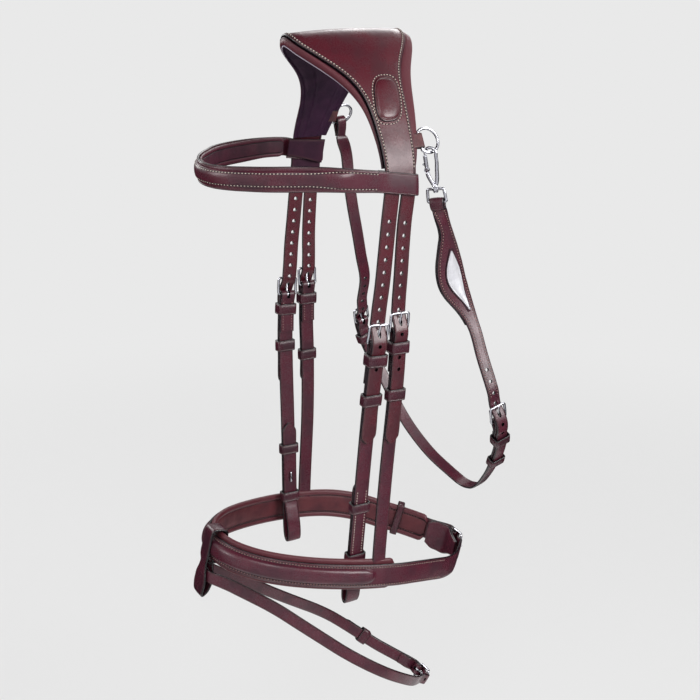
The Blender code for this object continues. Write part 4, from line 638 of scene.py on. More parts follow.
def outline(half, thick=HIDE, rise=0.0, pinch=0.0):
    """Closed strap outlines for half widths: x across, y outward, and the distance to the edge.
    y = half the thickness + dome * (1 - q * q) + rise * swell, where q is the share across
    divided by the dome's own share. Grooves and corners shrink on a strap that is very narrow."""
    h = np.atleast_1d(half)[:, None]
    fit = np.minimum(1.0, h / NARROW)
    r = CORNER * thick * fit
    level = thick / 2 + 0 * h
    x = np.hstack([h - r + r * np.cos(ROUND), h - fit * GROOVE_IN, h * MIDDLE])
    lift = np.reshape(rise, (-1, 1)) * swell(MIDDLE + np.reshape(pinch, (-1, 1)))
    y = np.hstack([level * np.sin(ROUND), level + GROOVE_DEPTH * fit,
                   level + DOME * fit * (1 - (MIDDLE / DOME_SHARE) ** 2) + lift])
    low_x = h - r + r * np.cos(ROUND[1:])
    low_y = -level * np.sin(ROUND[1:])
    flat = h * np.array([-0.5, 0.0, 0.5])
    across = np.hstack([x, -x[:, -2::-1], -low_x, flat, low_x[:, ::-1]])
    up = np.hstack([y, y[:, -2::-1], low_y, -level + 0 * flat, low_y[:, ::-1]])
    return across, up, h - np.abs(across)


print("a strap's outline has", outline(CHEEK)[0].shape[1], "points")

# %% Straps
def beads(line, start, stop, step=0.0025, turn=0.14):
    """Distances along a line, closer together where it bends: 1 / step + bend / turn of them
    to each metre, where bend is how fast the direction changes."""
    bend = np.linalg.norm(np.gradient(line.along, line.run, axis=0), axis=1)
    need = np.cumsum((1 / step + bend / turn) * np.gradient(line.run))
    low, high = np.interp([start, stop], line.run, need)
    return np.interp(np.linspace(low, high, int(high - low) + 3), need, line.run)


def strap(name, line, finish, nodes=(), thick=HIDE, rise=None, step=0.0025, sewn=None):
    """A leather strap along a line. rise gives how far its middle stands out, and how much
    narrower that part is, by distance; sewn gives the stitches' distance from its edges."""
    distance = beads(line, 0.0, line.length, step)
    at, side, _, outward, half = line.spot(distance)
    shape = () if rise is None else rise(distance, at)
    across, up, edge = outline(half, thick, *(shape if isinstance(shape, tuple) else (shape,)))
    points, faces = sweep(at, side, outward, across, up)
    seam = np.zeros(len(distance)) if sewn is None else sewn(distance, at, half)
    marks = {"sewn": np.repeat(seam, across.shape[1])}
    return piece(name, points, faces, finish, "bridle", nodes, edge.ravel(), marks=marks)


TRIAL = Line([(0, 0, 0, 0, 1, 0, CHEEK), (0.1, 0, 0, 0, 1, 0, CHEEK)])
print("a straight strap of 100 mm needs", len(beads(TRIAL, 0.0, TRIAL.length)), "rings")

# %% [markdown]
# ## Holes
# Billets are punched with a round drift. Cutting each hole with a small cylinder keeps the
# leather's own surface round it; the tongue's hole is drawn long by wear.

# %% Cutting
HOLE_RADIUS, SLOT_LOW, SLOT_HIGH = 0.0019, (-0.0018, -0.0034, -0.006), (0.0018, 0.006, 0.006)


def pegs(frames, radius, depth=0.010, sides=20):
    """Cylinders along each frame's outward axis: circle * radius, stretched along the strap."""
    angle = circle(sides)
    parts = []
    for spot, stretch in frames:
        x, y = radius * np.cos(angle), radius * stretch * np.sin(angle)
        path = spot.put(np.array([(0, 0, -depth / 2), (0, 0, depth / 2)]))
        parts.append(sweep(path, *(np.tile(spot.axes[:, k], (2, 1)) for k in (0, 1)), x, y))
    return join(*parts)


def block(spot, low, high):
    """A box in a frame, between two corners."""
    low, high = np.array(low), np.array(high)
    middle, size = (low + high) / 2, (high - low) / 2
    path = spot.put(np.array([(middle[0], middle[1], low[2]), (middle[0], middle[1], high[2])]))
    x, y = np.array([-1, 1, 1, -1]) * size[0], np.array([-1, -1, 1, 1]) * size[1]
    return sweep(path, *(np.tile(spot.axes[:, k], (2, 1)) for k in (0, 1)), x, y)


def cut(obj, shape):
    """Take a closed shape away from a piece."""
    points, faces = shape
    mesh = bpy.data.meshes.new("cutter")
    mesh.from_pydata(points.tolist(), [], faces)
    face_outward(mesh)
    tool = bpy.data.objects.new("cutter", mesh)
    bpy.context.scene.collection.objects.link(tool)
    hole = obj.modifiers.new("hole", "BOOLEAN")
    hole.operation, hole.solver, hole.object = "DIFFERENCE", "EXACT", tool
    bpy.context.view_layer.update()
    settled = obj.evaluated_get(bpy.context.evaluated_depsgraph_get())
    baked = bpy.data.meshes.new_from_object(settled)
    obj.modifiers.clear()
    old, obj.data = obj.data, baked
    bpy.data.meshes.remove(old)
    bpy.data.objects.remove(tool, do_unlink=True)
    bpy.data.meshes.remove(mesh)
    soften(baked, SHARP)


def tongue_slot(obj, spot):
    """The slot in a strap's fold through which the tongue comes out."""
    cut(obj, block(spot, SLOT_LOW, SLOT_HIGH))


print("a peg has", len(pegs([(FLAT_FRAME, 1.0)], HOLE_RADIUS)[1]), "faces")

# %% [markdown]
# ## Keepers
# A keeper is a short leather loop that holds a billet's end down. It is a rounded rectangle of
# path with the strap's creased section laid across it. Sewn keepers stay put; runners slide. A
# box with a hole in it would have the size, but light picks out the round edges and the crease,
# so the section is swept round.

# %% Keepers
KEEPER_CREASE, KEEPER_WALL, KEEPER_ROOM = 0.0013, 0.0018, 0.0004


def box_path(low_x, high_x, low_y, high_y, radius, steps=6):
    """A closed rounded rectangle: four quarter circles, in order."""
    angle = np.radians(np.linspace(0, 90, steps))
    middles = ((high_x - radius, high_y - radius), (low_x + radius, high_y - radius),
               (low_x + radius, low_y + radius), (high_x - radius, low_y + radius))
    return np.vstack([np.column_stack([cx + radius * np.cos(angle + k * np.pi / 2),
                                       cy + radius * np.sin(angle + k * np.pi / 2)])
                      for k, (cx, cy) in enumerate(middles)])


def closed_run(points, step):
    """A closed path with extra points on its straight sides, and its directions along."""
    after = np.roll(points, -1, axis=0)
    count = np.maximum(1, (np.linalg.norm(after - points, axis=1) / step).astype(int))
    index = np.repeat(np.arange(len(points)), count)
    share = np.concatenate([np.arange(c) / c for c in count])[:, None]
    path = points[index] * (1 - share) + after[index] * share
    return path, unit(np.roll(path, -1, axis=0) - np.roll(path, 1, axis=0))


def band_section(length, wall, grooves=(KEEPER_CREASE,)):
    """Outline of a keeper's leather: x along the strap, y outward, with its edge distance."""
    h = length / 2
    inward = np.concatenate([[g - 0.0003, g, g + 0.0003] for g in grooves])
    dip = np.tile([0.0, -0.00022, 0.0], len(grooves))
    r = CORNER * wall
    x = np.concatenate([h - r + r * np.cos(ROUND), h - inward, [0.25 * h]])
    y = np.concatenate([wall / 2 * np.sin(ROUND), wall / 2 + dip, [wall / 2 + 0.0001]])
    low_x, low_y = h - r + r * np.cos(ROUND[1:]), -wall / 2 * np.sin(ROUND[1:])
    x = np.concatenate([x, -x[::-1], -low_x, low_x[::-1]])
    y = np.concatenate([y, y[::-1], low_y, low_y[::-1]])
    return x, y, h - np.abs(x)


def keeper(name, spot, half, low, high, length, grooves=(KEEPER_CREASE,)):
    """A leather loop round a strap, in a frame: X across, Y along the strap, Z outward. A runner
    is a body of its own, and a keeper rides on the bridle."""
    ply = KEEPER_WALL / 2
    side = half + KEEPER_ROOM + ply
    flat, way = closed_run(box_path(-side, side, low - ply, high + ply, 0.0016), 0.0022)
    path = spot.put(np.column_stack([flat[:, 0], 0 * flat[:, 0], flat[:, 1]]))
    outward = np.column_stack([way[:, 1], 0 * way[:, 0], -way[:, 0]]) @ spot.axes.T
    x, y, edge = band_section(length, KEEPER_WALL, grooves)
    points, faces = sweep(path, np.tile(spot.axes[:, 1], (len(path), 1)), outward, x, y, True)
    piece(name, points, faces, TRIM_HIDE, name if "runner" in name else "bridle", name,
          np.tile(edge, len(path)))


print("a keeper's section has", len(band_section(0.012, KEEPER_WALL)[0]), "points")

# %% [markdown]
# ## Bent and turned steel
# Buckles, rings and the snap are drawn wire and small turned parts. A wire is a circle carried
# along its path; a turned part is the same circle with a radius that changes on the way. A
# bevelled curve object would make wire as well, but the turned parts would need another tool.

# %% Steel
def rod(path, radius, up, sides=14, closed=False, flat=1.0):
    """A circle of the given radii along points. flat squeezes it along the up direction."""
    path, radius = np.array(path, float), np.reshape(radius, (-1, 1))
    way = (np.roll(path, -1, 0) - np.roll(path, 1, 0)) if closed else np.gradient(path, axis=0)
    way = unit(way)
    up = np.array(up, float)
    first = unit(up - (way @ up)[:, None] * way)
    angle = circle(sides)
    return sweep(path, first, np.cross(way, first), radius * np.cos(angle) * flat,
                 radius * np.sin(angle), closed)


def wire(points, radius, up, sides=14, step=0.0008, flat=1.0, tip=None):
    """An open wire with rounded ends: radius * sqrt(1 - u * u) over its last radius. It may
    thin evenly towards its far end, to the radius called tip."""
    dense = smooth(np.array(points, float), 12)
    run = run_along(dense)
    end = radius * (1 - np.cos(np.radians([8, 30, 50, 70])))
    inner = np.linspace(radius, run[-1] - radius, max(3, int(run[-1] / step)))
    at = np.concatenate([end, inner, run[-1] - end[::-1]])
    near_end = np.minimum(at, run[-1] - at)
    size = radius * np.sqrt(1 - (1 - np.clip(near_end / radius, 0, 1)) ** 2)
    if tip is not None:
        size = size * (1 + (tip / radius - 1) * at / run[-1])
    return rod(read_at(at, run, dense), size, up, sides, False, flat)


def moved(spot, shape):
    """A local shape put into a frame."""
    return spot.put(shape[0]), shape[1]


print("a wire of 20 mm has", len(wire(((0, 0, 0), (0, 0.02, 0)), 0.001, (0, 0, 1))[1]), "faces")

# %% Buckles
REACH, LIFT, WIRE, BOW = 0.018, 0.002, 0.0014, 0.0006
PRONG_ROOT, PRONG, PRONG_FLAT = 0.0014, 0.00105, 0.9
EYE_AWAY, EYE_LONG, EYE_THICK = 0.0024, 0.00138, 0.00062


def buckle(word, spot, half):
    """A wire frame that bows slightly out of its plane, and its tongue, which pivots on the bar."""
    side = half + 0.0006 + WIRE
    flat, _ = closed_run(box_path(-side, side, 0.0, REACH, 0.0026, 8), 0.0012)
    height = LIFT * flat[:, 1] / REACH + BOW * np.sin(np.pi * flat[:, 1] / REACH)
    frame_wire = rod(np.column_stack([flat, height]), WIRE, (0, 0, 1), 16, True)
    piece(word + "_buckle", *moved(spot, frame_wire), STEEL, "bridle", word + "_buckle")
    rest = LIFT + WIRE + PRONG + 0.0003
    slope = rest / REACH
    bends = ((0.0020, 0.0020 * slope), (REACH * 0.5, REACH * 0.5 * slope), (REACH + 0.0002, rest),
             (REACH + 0.0016, rest - 0.0003))
    prong = wire([(0, y, z) for y, z in bends], PRONG_ROOT, (0, 0, 1), 12, tip=PRONG,
                 flat=PRONG_FLAT)
    turn = circle(24)
    ring = np.column_stack([0 * turn, np.cos(turn), np.sin(turn)])
    corner_turn = np.radians(np.arange(8) * 45 + 22.5)
    eye = sweep(ring * EYE_AWAY, np.tile([1.0, 0, 0], (24, 1)), ring,
                EYE_LONG * np.cos(corner_turn), EYE_THICK * np.sin(corner_turn), True)
    piece(word + "_tongue", *moved(spot, join(prong, eye)), STEEL, word + "_tongue",
          word + "_tongue")


print("a buckle reaches", REACH / MM, "mm past its bar")

# %% [markdown]
# ## Stitches
# A saddler's stitch is a short strand that dips into the leather at both ends, slanted a little
# by the pricking iron. A drawn pattern of stitches would be cheaper, but flat from the side. Here
# each is a tiny spindle that catches the light, and as there are many, each has few faces.

# %% Stitches
SPINDLE_SIDES, DIP, SLANT = 6, 0.4, 0.12
LOOK = 0.0004                 # how far ahead and back a row's direction is read


def stitch_rows(name, rows, finish, pitch=0.0031, length=0.0017, thick=0.00052, later=0.0):
    """Spindles spaced along rows. A row is (points, directions out of the leather). A spindle's
    ends dip by a share of its thickness times the square of the way from its middle."""
    spin = circle(SPINDLE_SIDES)
    along = np.array([-0.5, -0.36, 0.0, 0.36, 0.5]) * length
    wide = np.array([0.12, 0.8, 1.0, 0.8, 0.12]) * thick
    long = np.repeat(along, SPINDLE_SIDES)
    shape = np.stack([long, (wide[:, None] * np.cos(spin)).ravel(),
                      (wide[:, None] * np.sin(spin)).ravel()
                      - DIP * thick * (long / (0.5 * length)) ** 2], 1)
    faces = quads_of(len(along), SPINDLE_SIDES)
    caps = np.array(ring_ends(len(along), SPINDLE_SIDES))
    all_points, all_faces, all_caps, count = [], [], [], 0
    for path, out in rows:
        run = run_along(path)
        at = np.arange(pitch * (0.5 + later), run[-1], pitch)
        up = unit(read_at(at, run, out))
        way = unit(read_at(at + LOOK, run, path) - read_at(at - LOOK, run, path))
        way = unit(way + SLANT * unit(np.cross(up, way)))
        basis = np.stack([way, np.cross(up, way), up], 1)
        points = read_at(at, run, path)[:, None] + np.einsum("sk,nkd->nsd", shape, basis)
        shift = (count + np.arange(len(at)) * len(shape))[:, None, None]
        all_points.append(points.reshape(-1, 3))
        all_faces.append((faces[None] + shift).reshape(-1, faces.shape[1]))
        all_caps.append((caps[None] + shift).reshape(-1, caps.shape[1]))
        count += len(at) * len(shape)
    mesh_faces = np.vstack(all_faces).tolist() + np.vstack(all_caps).tolist()
    piece(name, np.vstack(all_points), mesh_faces, finish, sharp=80)
    print(name, "has", count // len(shape), "stitches")


def line_row(line, start, stop, across, outward):
    """A stitch row at a place across a strap: path = middle + side * across + out * outward."""
    distance = np.linspace(start, stop, max(8, int(abs(stop - start) / 0.002)))
    at, side, _, out, half = line.spot(distance)
    across = across(half) if callable(across) else np.full(len(distance), across)
    return at + side * across[:, None] + out * outward, out * (1.0 if outward >= 0 else -1.0)


print("thirty millimetres take", len(np.arange(0.0031 / 2, 0.030, 0.0031)), "stitches")

# %% [markdown]
# ## The crown
# The crown is one broad piece of leather that lies over the poll, cut back in front so that it
# clears the ears. It is an arch: a distance along the arch and a place across it give every
# point, and its front and rear edges are smooth curves of that distance. A raised oval is sewn
# on each side.

# %% The arch
ARCH = ((0, 0), (17, -8.5), (39, -29.5), (57, -52), (72, -76), (85, -102), (90, -130), (91, -150))
ARCH_RUN = 0.1463             # from the poll to the browband
arch = Line([(x * MM * turn, 0, z * MM, 0, 1, 0, 0.01)
             for turn, points in ((-1, ARCH[:0:-1]), (1, ARCH)) for x, z in points])
POLL = arch.where(0, 0.0)


def bell(run, spread):
    """1 over the poll, and e to the power of -(run / spread) ** 2 down the sides."""
    return np.exp(-(run / spread) ** 2)


def height_of(run):
    """From the underside of the padding to the middle of the leather: the height over the poll,
    less a share that grows evenly as far as the browband."""
    return 0.0102 - 0.0060 * np.minimum(np.abs(run) / ARCH_RUN, 1.0)


def leather_edges(run):
    """Front and rear: a straight cut plus a bell where the crown widens over the poll."""
    share = np.maximum(1 - np.abs(run) / ARCH_RUN, 0)
    return (-0.016 - 0.053 * bell(run, 0.046), 0.0168 + 0.012 * share + 0.0262 * bell(run, 0.036))


def pad_edges(run):
    """The padding's front and rear: the leather's formula, a little wider."""
    share = np.maximum(1 - (run / ARCH_RUN) ** 2, 0)
    return (-0.0175 - 0.0535 * bell(run, 0.052), 0.018 + 0.022 * share + 0.0232 * bell(run, 0.040))


def over_arch(run, y, height):
    """Place = arch point - its outward direction * (height - drop * share squared), where share
    is how far y lies from the middle of the padding and outward points into the arch."""
    run, y, height = np.broadcast_arrays(run, y, height)
    at, _, _, out, _ = arch.spot((POLL + run).ravel())
    front, rear = pad_edges(run)
    share = (y - (front + rear) / 2) / ((rear - front) / 2)
    drop = 0.0025 * np.maximum(0.0, 1 - (run / 0.118) ** 2)
    place = at - out * (height - drop * share * share).ravel()[:, None]
    place[:, 1] = y.ravel()
    return place.reshape(*run.shape, 3)


def arch_run_at(z):
    """The distance from the poll at which the arch has come down to a height."""
    return POLL - arch.where(2, z)


print("the arch is", round(arch.length, 4), "m long, with its top at", round(POLL, 4))

# %% Crown leather
CROWN_SEAM = 0.0026           # from the crown's edge to its stitches
LOW_RUN = arch_run_at(-0.1175)
run = np.linspace(-LOW_RUN, LOW_RUN, 220)
front, rear = leather_edges(run)
across, up, edge = outline((rear - front) / 2)
points = over_arch(run[:, None], (front + rear)[:, None] / 2 + across, height_of(run)[:, None] + up)
piece("crown_hide_piece", points.reshape(-1, 3), tube_faces(*across.shape), CROWN_HIDE, "bridle",
      "headpiece_leather", edge.ravel(), marks={"sewn": np.full(edge.size, CROWN_SEAM)})
tell("crown_hide_piece")

# %% Ovals
OVAL_RUN, OVAL_Y, OVAL_LENGTH, OVAL_WIDTH, OVAL_SLANT = 0.0785, 0.0025, 0.0215, 0.0133, 0.20


def oval_place(size, angle, height, sign):
    """A rounded-rectangle oval: |x| ** 3 + |y| ** 3 = size ** 3, slanted along the crown."""
    x, y = np.cos(angle), np.sin(angle)
    power = (np.abs(x) ** 3 + np.abs(y) ** 3) ** (-1 / 3) * size
    run = OVAL_RUN + OVAL_LENGTH * x * power
    aside = OVAL_Y + OVAL_WIDTH * y * power - OVAL_SLANT * (run - OVAL_RUN)
    return over_arch(run * sign, aside, height_of(run) + HIDE / 2 + height)


OVAL_RING = 1.10              # the stitched ring's size beside the oval's
size = np.array([1.0, 1.0, 0.99, 0.965, 0.93, 0.90, 0.88, 0.85, 0.78, 0.66, 0.5, 0.3, 0.1])
lift = np.array([-1.5, 0.5, 1.15, 1.5, 1.55, 1.30, 1.45, 2.0, 2.5, 2.8, 3.0, 3.1, 3.15]) * MM
angle = circle(72)
inward = np.repeat((1 - size) * 0.014 + (lift > 0) * 0.0002, len(angle))
for word, sign in SIDES.items():
    points = oval_place(size[:, None], angle[None, :], lift[:, None], sign)
    piece(word + "_crown_oval", points.reshape(-1, 3), tube_faces(len(size), len(angle)),
          CROWN_HIDE, "bridle", (), inward)
tell("oval")

# %% Crown stitching
ON_FACE, ABOVE_FACE = 0.00005, 0.002      # heights that give a stitch its place and its way up
SEWN_TO = 0.93                            # the rows end short of the crown's lower ends


def crown_row(y):
    """A row over the arch at places across it, and its directions out of the leather."""
    low, high = (over_arch(row_run, y, height_of(row_run) + HIDE / 2 + h)
                 for h in (ON_FACE, ABOVE_FACE))
    return low, high - low


row_run = np.linspace(-LOW_RUN * SEWN_TO, LOW_RUN * SEWN_TO, 200)
front, rear = leather_edges(row_run)
rows = [crown_row(front + CROWN_SEAM), crown_row(rear - CROWN_SEAM)]
for sign in SIDES.values():
    low, high = (oval_place(OVAL_RING, np.linspace(0, 2 * np.pi, 90), h, sign)
                 for h in (ON_FACE, ABOVE_FACE))
    rows.append((low, high - low))
stitch_rows("crown_stitching", rows, CREAM_THREAD, length=0.0017, thick=0.00058)
# Dark spindles between the stitches: painted shade in the holes
stitch_rows("crown_stitch_hole_shade", rows, STITCH_HOLE_SHADE, length=0.0018, thick=0.00072, later=0.5)
tell("crown_stitch")

# %% [markdown]
# ## The crown's padding
# Under the crown lies a padded lining with a roll along its front and rear, which spreads the
# pressure on the poll. Its section is a smooth closed curve through a few points: two rolls, a
# seam beside each, and shallow channels sewn along the underside. A voxel remesh would rub out
# rolls and seams this fine, so the swell is worked into the section.

# %% Padding under the crown
def closed_weights(count, fine):
    """Catmull-Rom weights that turn a closed ring of points into a finer one: each row says how
    much of every given point goes into one point of the finer ring."""
    t = (np.arange(fine) / fine)[:, None, None]
    eye = np.eye(count)
    before, here, after, beyond = (np.roll(eye, k, axis=1) for k in (-1, 0, 1, 2))
    blend = 0.5 * (2 * here + t * (after - before)
                   + t ** 2 * (2 * before - 5 * here + 4 * after - beyond)
                   + t ** 3 * (3 * here - before - 3 * after + beyond))
    return blend.transpose(1, 0, 2).reshape(-1, count)


PAD_GAP, PIPING = 0.0006, 0.00065
near_low, far_low = arch_run_at(-0.1062), arch_run_at(-0.1012)
run = np.linspace(-far_low, near_low, 150)
top = height_of(run) - HIDE / 2 - PAD_GAP
front, rear = pad_edges(run)
hide_front, hide_rear = leather_edges(run)
ring = [(front + 0.0048, 0.0010 + 0 * top), (front + 0.0026, 0.0001 + 0 * top),
        (front + 0.0006, top * 0.18), (front, top * 0.50),
        (front + 0.0007, top * 0.85), (front * 0.4 + hide_front * 0.6, top + 0.0004),
        (hide_front + 0.0010, top)]
ring += [(hide_front + (hide_rear - hide_front) * q, top) for q in (0.2, 0.4, 0.6, 0.8)]
ring += [(hide_rear - 0.0010, top), (rear * 0.4 + hide_rear * 0.6, top + 0.0004),
         (rear - 0.0007, top * 0.85), (rear, top * 0.50), (rear - 0.0006, top * 0.18),
         (rear - 0.0026, 0.0001 + 0 * top), (rear - 0.0048, 0.0010 + 0 * top)]
channel = np.array([0.06, 0.19, 0.25, 0.31, 0.44, 0.50, 0.56, 0.69, 0.75, 0.81, 0.94])[::-1]
depth = np.array([0.2, 0.0, 0.3, 0.0, 0.0, 0.0, 0.0, 0.0, 0.3, 0.0, 0.2])[::-1] * MM
ring += [(front + 0.0048 + (rear - front - 0.0096) * q, d + 0 * top)
         for q, d in zip(channel, depth)]
weights = closed_weights(len(ring), 4)
y, height = (np.stack([p[k] for p in ring], 1) @ weights.T for k in (0, 1))
points = over_arch(run[:, None], y, height)
roll = ease(0.0013, 0.0024, height)
# Painted shade where the padding runs in under the leather's edge
outside = np.maximum(hide_front[:, None] - y, y - hide_rear[:, None])
seam = (1 - ease(0.0006, 0.0020, outside)) * (height > 0.5 * top[:, None])
pad = piece("crown_pad", points.reshape(-1, 3), tube_faces(*y.shape), PAD_HIDE, "bridle",
            "headpiece_padding", sharp=60, marks={"roll": roll.ravel(), "seam": seam.ravel()})

# A pale cord along the padding's front: a painted highlight on the roll's lower edge
run = np.linspace(-0.030, 0.095, 120)
place = over_arch(run, pad_edges(run)[0] + 0.0012, 0.0006)
taper = np.sqrt(np.sin(np.linspace(0.05, np.pi - 0.05, 120)))
piece("crown_pad_highlight_piping", *rod(place, PIPING * taper, (0, 1, 0), 8), HIGHLIGHT_CORD, sharp=80)
tell("crown_pad")

# %% [markdown]
# ## The browband
# The browband runs across the forehead, with its middle raised over padding. It is one strip:
# each end turns round the crown's straps and comes back behind itself, which makes the loop.
# So its line starts behind one loop and ends behind the other.

# %% Browband
def mm_rows(points, side, half=None):
    """Line rows from points in millimetres. A fourth number is the point's own half width."""
    return [(*(c * MM for c in point[:3]), *side, point[3] * MM if half is None else half)
            for point in points]


BROW = ((94.0, -24, -116.0, 10.2), (90.8, -47, -113.6, 10.8), (82.5, -76, -111.0, 11.5),
        (70.5, -102, -110.4, 11.7), (59, -119, -110.7, 11.6), (46, -131.5, -111.2, 11.4),
        (31, -144.5, -111.6, 11.1), (15.5, -153, -111.6, 10.8), (0, -156, -110.8, 10.7),
        (-15.5, -153, -109.9, 10.8), (-31, -144.5, -109.2, 11.1), (-46, -131.5, -108.8, 11.4),
        (-59, -119, -108.6, 11.6), (-70.5, -102, -108.7, 11.7), (-82.5, -76, -109.1, 11.5),
        (-90.8, -47, -109.4, 10.4), (-93.8, -24, -110.6, 9.5))
# Each loop: its middle along X and Z, how far its top leans in, and how far its rear drops
BROW_LOOPS = {1: (91.8, -117.5, 0.070, 5.5), -1: (-91.6, -113.6, -0.100, 5.0)}


def loop_rows(sign):
    """From behind the browband, round the rear of the loop and forward on its outside. A point
    lies out from the loop's middle line, and drops evenly with how far to the rear it is."""
    x, z, lean, drop = BROW_LOOPS[sign]
    path = ((-3.1, -23), (-3.1, -14), (-3.0, 0), (-3.0, 12), (-2.7, 16.4), (-1.4, 18.0),
            (0.3, 18.4), (1.9, 17.7), (2.9, 15.4), (3.0, 10), (3.0, 0), (2.9, -12))
    return [((x + sign * out) * MM, y * MM, (z - drop * (y + 15) / 33) * MM, -lean, 0.0, 1.0,
             0.0099) for out, y in path]


BROW_RISE, BROW_SEWN_FROM = 0.0028, -0.0255


def brow_rise(at):
    """0 at the sides, and the full rise over the forehead, eased between by how far front."""
    return BROW_RISE * ease(0.044, 0.064, -at[:, 1])


def brow_seam(at, half):
    """The seam's distance from the edge: at the foot of the raised part over the forehead, and
    eased to a plain margin at the sides."""
    spread = ease(-0.088, -0.052, at[:, 1])
    return (half - 0.0056) * (1 - spread) + 0.0034 * spread


brow_base = Line(mm_rows(BROW, (0, 0, 1)))
brow = Line(loop_rows(1) + mm_rows(BROW, (0, 0, 1)) + loop_rows(-1)[::-1])
strap("browband", brow, STRAP_HIDE, "browband_leather", thick=0.0022,
      rise=lambda distance, at: brow_rise(at),
      sewn=lambda distance, at, half: brow_seam(at, half) * (at[:, 1] < BROW_SEWN_FROM))

# A dark sheet inside the far loop, in the shade leather: painted shade on the loop's inner ply. It
# grows wider and lower towards the rear
SHADE_ROWS = ((-23, 8.9, -111.0), (-14, 9.4, -112.4), (-4, 10.3, -114.0), (6, 11.4, -116.0),
              (14, 12.2, -117.4), (17.6, 12.4, -118.0))
rows = [(-87.1 * MM, y * MM, z * MM, 0.05, 0.0, 1.0, half * MM) for y, half, z in SHADE_ROWS]
strap("far_loop_inside", Line(rows), SHADE_HIDE, thick=0.0012)
print("browband", round(brow.length, 4), "m with its loops")

# %% Browband lining
BROW_LINING_HALF, TAPER, DRAWN_TO = 0.0100, 0.006, 0.65


def padded_band(name, line, start, stop, half, shape, out, aside, nodes, finish):
    """A padded strip: a smooth closed section, drawn in at both ends so that they close: size =
    0.65 + 0.35 * a quarter circle. The mark called roll is 1 on the rolls along its edges, and
    the seam mark paints shade in the fold at each roll's foot on the underside."""
    distance = beads(line, start, stop, 0.003)
    near_end = np.minimum(distance - start, stop - distance)
    round_end = np.sqrt(1 - (1 - np.clip(near_end / TAPER, 0.02, 1)) ** 2)
    size = round_end * (1 - DRAWN_TO) + DRAWN_TO
    at, side, _, outward, _ = line.spot(distance)
    fine = closed_weights(len(shape), 4) @ np.array(shape)
    x = fine[:, 0][None] * half * size[:, None] + aside
    y = fine[:, 1][None] * MM * size[:, None] + out
    points, faces = sweep(at, side, outward, x, y)
    roll = np.tile(ease(0.60, 0.68, np.abs(fine[:, 0])), len(distance))
    # Painted shade in the fold at each roll's foot, on the underside only
    seam = np.tile(1 - ease(0.015, 0.075, np.abs(np.abs(fine[:, 0]) - 0.605)), len(distance))
    made = piece(name, points, faces, finish, "bridle", nodes, sharp=60,
                 marks={"roll": roll, "seam": seam * (np.tile(fine[:, 1], len(distance)) < 0)})


BROW_PAD = [(-0.80, 1.15), (-0.95, 0.9), (-1.0, 0.0), (-0.95, -0.8), (-0.82, -1.2), (-0.70, -1.0),
            (-0.62, -0.5), (-0.52, -0.95), (0.0, -1.15), (0.52, -0.95), (0.62, -0.5), (0.70, -1.0),
            (0.82, -1.2), (0.95, -0.8), (1.0, 0.0), (0.95, 0.9), (0.80, 1.15), (0.0, 1.15)]
start = brow_base.where(1, -0.028)
padded_band("brow_lining", brow_base, start, brow_base.length - start, BROW_LINING_HALF, BROW_PAD,
            -0.0026, 0.0, "browband_lining", BROW_HIDE)
tell("brow_lining")

# %% Browband stitching
edge_run = brow_base.where(1, BROW_SEWN_FROM)
at, side, _, out, half = brow_base.spot(np.linspace(edge_run, brow_base.length - edge_run, 240))
across = half - brow_seam(at, half)
lift = 0.0011 + brow_rise(at) * swell(across / half)
rows = [(at + side * (k * across)[:, None] + out * lift[:, None], out) for k in (-1, 1)]
stitch_rows("browband_stitching", rows, CREAM_THREAD, pitch=0.0033, thick=0.00048)
tell("browband_stitching")

# %% [markdown]
# ## Straps that end in a buckle
# Where a strap holds a buckle, its end is folded round the buckle's bar and sewn down behind:
# the fold is a half circle in the strap's own path. The billet comes from behind the far bar,
# rises through the frame and runs out over the fold, with the tongue through one of its holes.

# %% Folds and billets
FOLD = ((-0.010, -0.00175), (-0.006, -0.0021), (-0.003, -0.0027), (0.0, -0.00295),
        (0.0021, -0.0021), (0.00295, 0.0), (0.0021, 0.0021), (0.0, 0.00295), (-0.003, 0.0027),
        (-0.006, 0.0018), (-0.010, 0.0011))
BACK_PLY, FRONT_PLY, CHAPE = -0.00170, 0.0010, 0.041
ON_BACK, ON_FRONT = BACK_PLY - HIDE / 2, FRONT_PLY + HIDE / 2
FOLD_ENDS, PLAIN_FROM = 0.0145, 0.0190                    # from the bar, along the strap
PASS = ((0.034, -0.0012), (0.026, -0.0014), (0.018, -0.0013), (0.0135, 0.0003), (0.009, 0.0026),
        (0.0045, 0.0047), (0.0, 0.0059), (-0.005, 0.0057), (-0.010, 0.0045), (-0.016, 0.0039))
HOLE_ALONG, HOLE_OUT, LONG_HOLE = 0.0092, 0.0022, 2.5


def folded(base, spot, half, chape=CHAPE):
    """Rows up the back ply, round the bar and down the front, for a strap along a base line."""
    back = base.rows(chape, FOLD_ENDS, BACK_PLY, half, 0.010)
    front = base.rows(FOLD_ENDS, PLAIN_FROM, FRONT_PLY, half)
    return back + spot.rows(FOLD, base.side[0], half) + front


def tip(rows, length, width):
    """The blunt point of a billet: three more rows, each at a share of the point's length and
    narrowed by a share of what it has to lose."""
    last, before = np.array(rows[-1]), np.array(rows[-2])
    way = unit(last[:3] - before[:3])
    more = []
    for share, narrow in ((0.30, 0.22), (0.62, 0.52), (1.0, 1.0)):
        row = last.copy()
        row[:3] += way * length * share
        row[6] = last[6] + (width - last[6]) * narrow
        more.append(row)
    return list(rows) + more


def punch(made, line, used, first, last, radius=HOLE_RADIUS, depth=0.010, pitch=PITCH):
    """Holes in a billet either side of the used one, which wear has drawn long."""
    frames = [(line.frame(used + k * pitch), LONG_HOLE if k == 0 else 1.0)
              for k in range(first, last)]
    cut(made, pegs(frames, radius, depth))


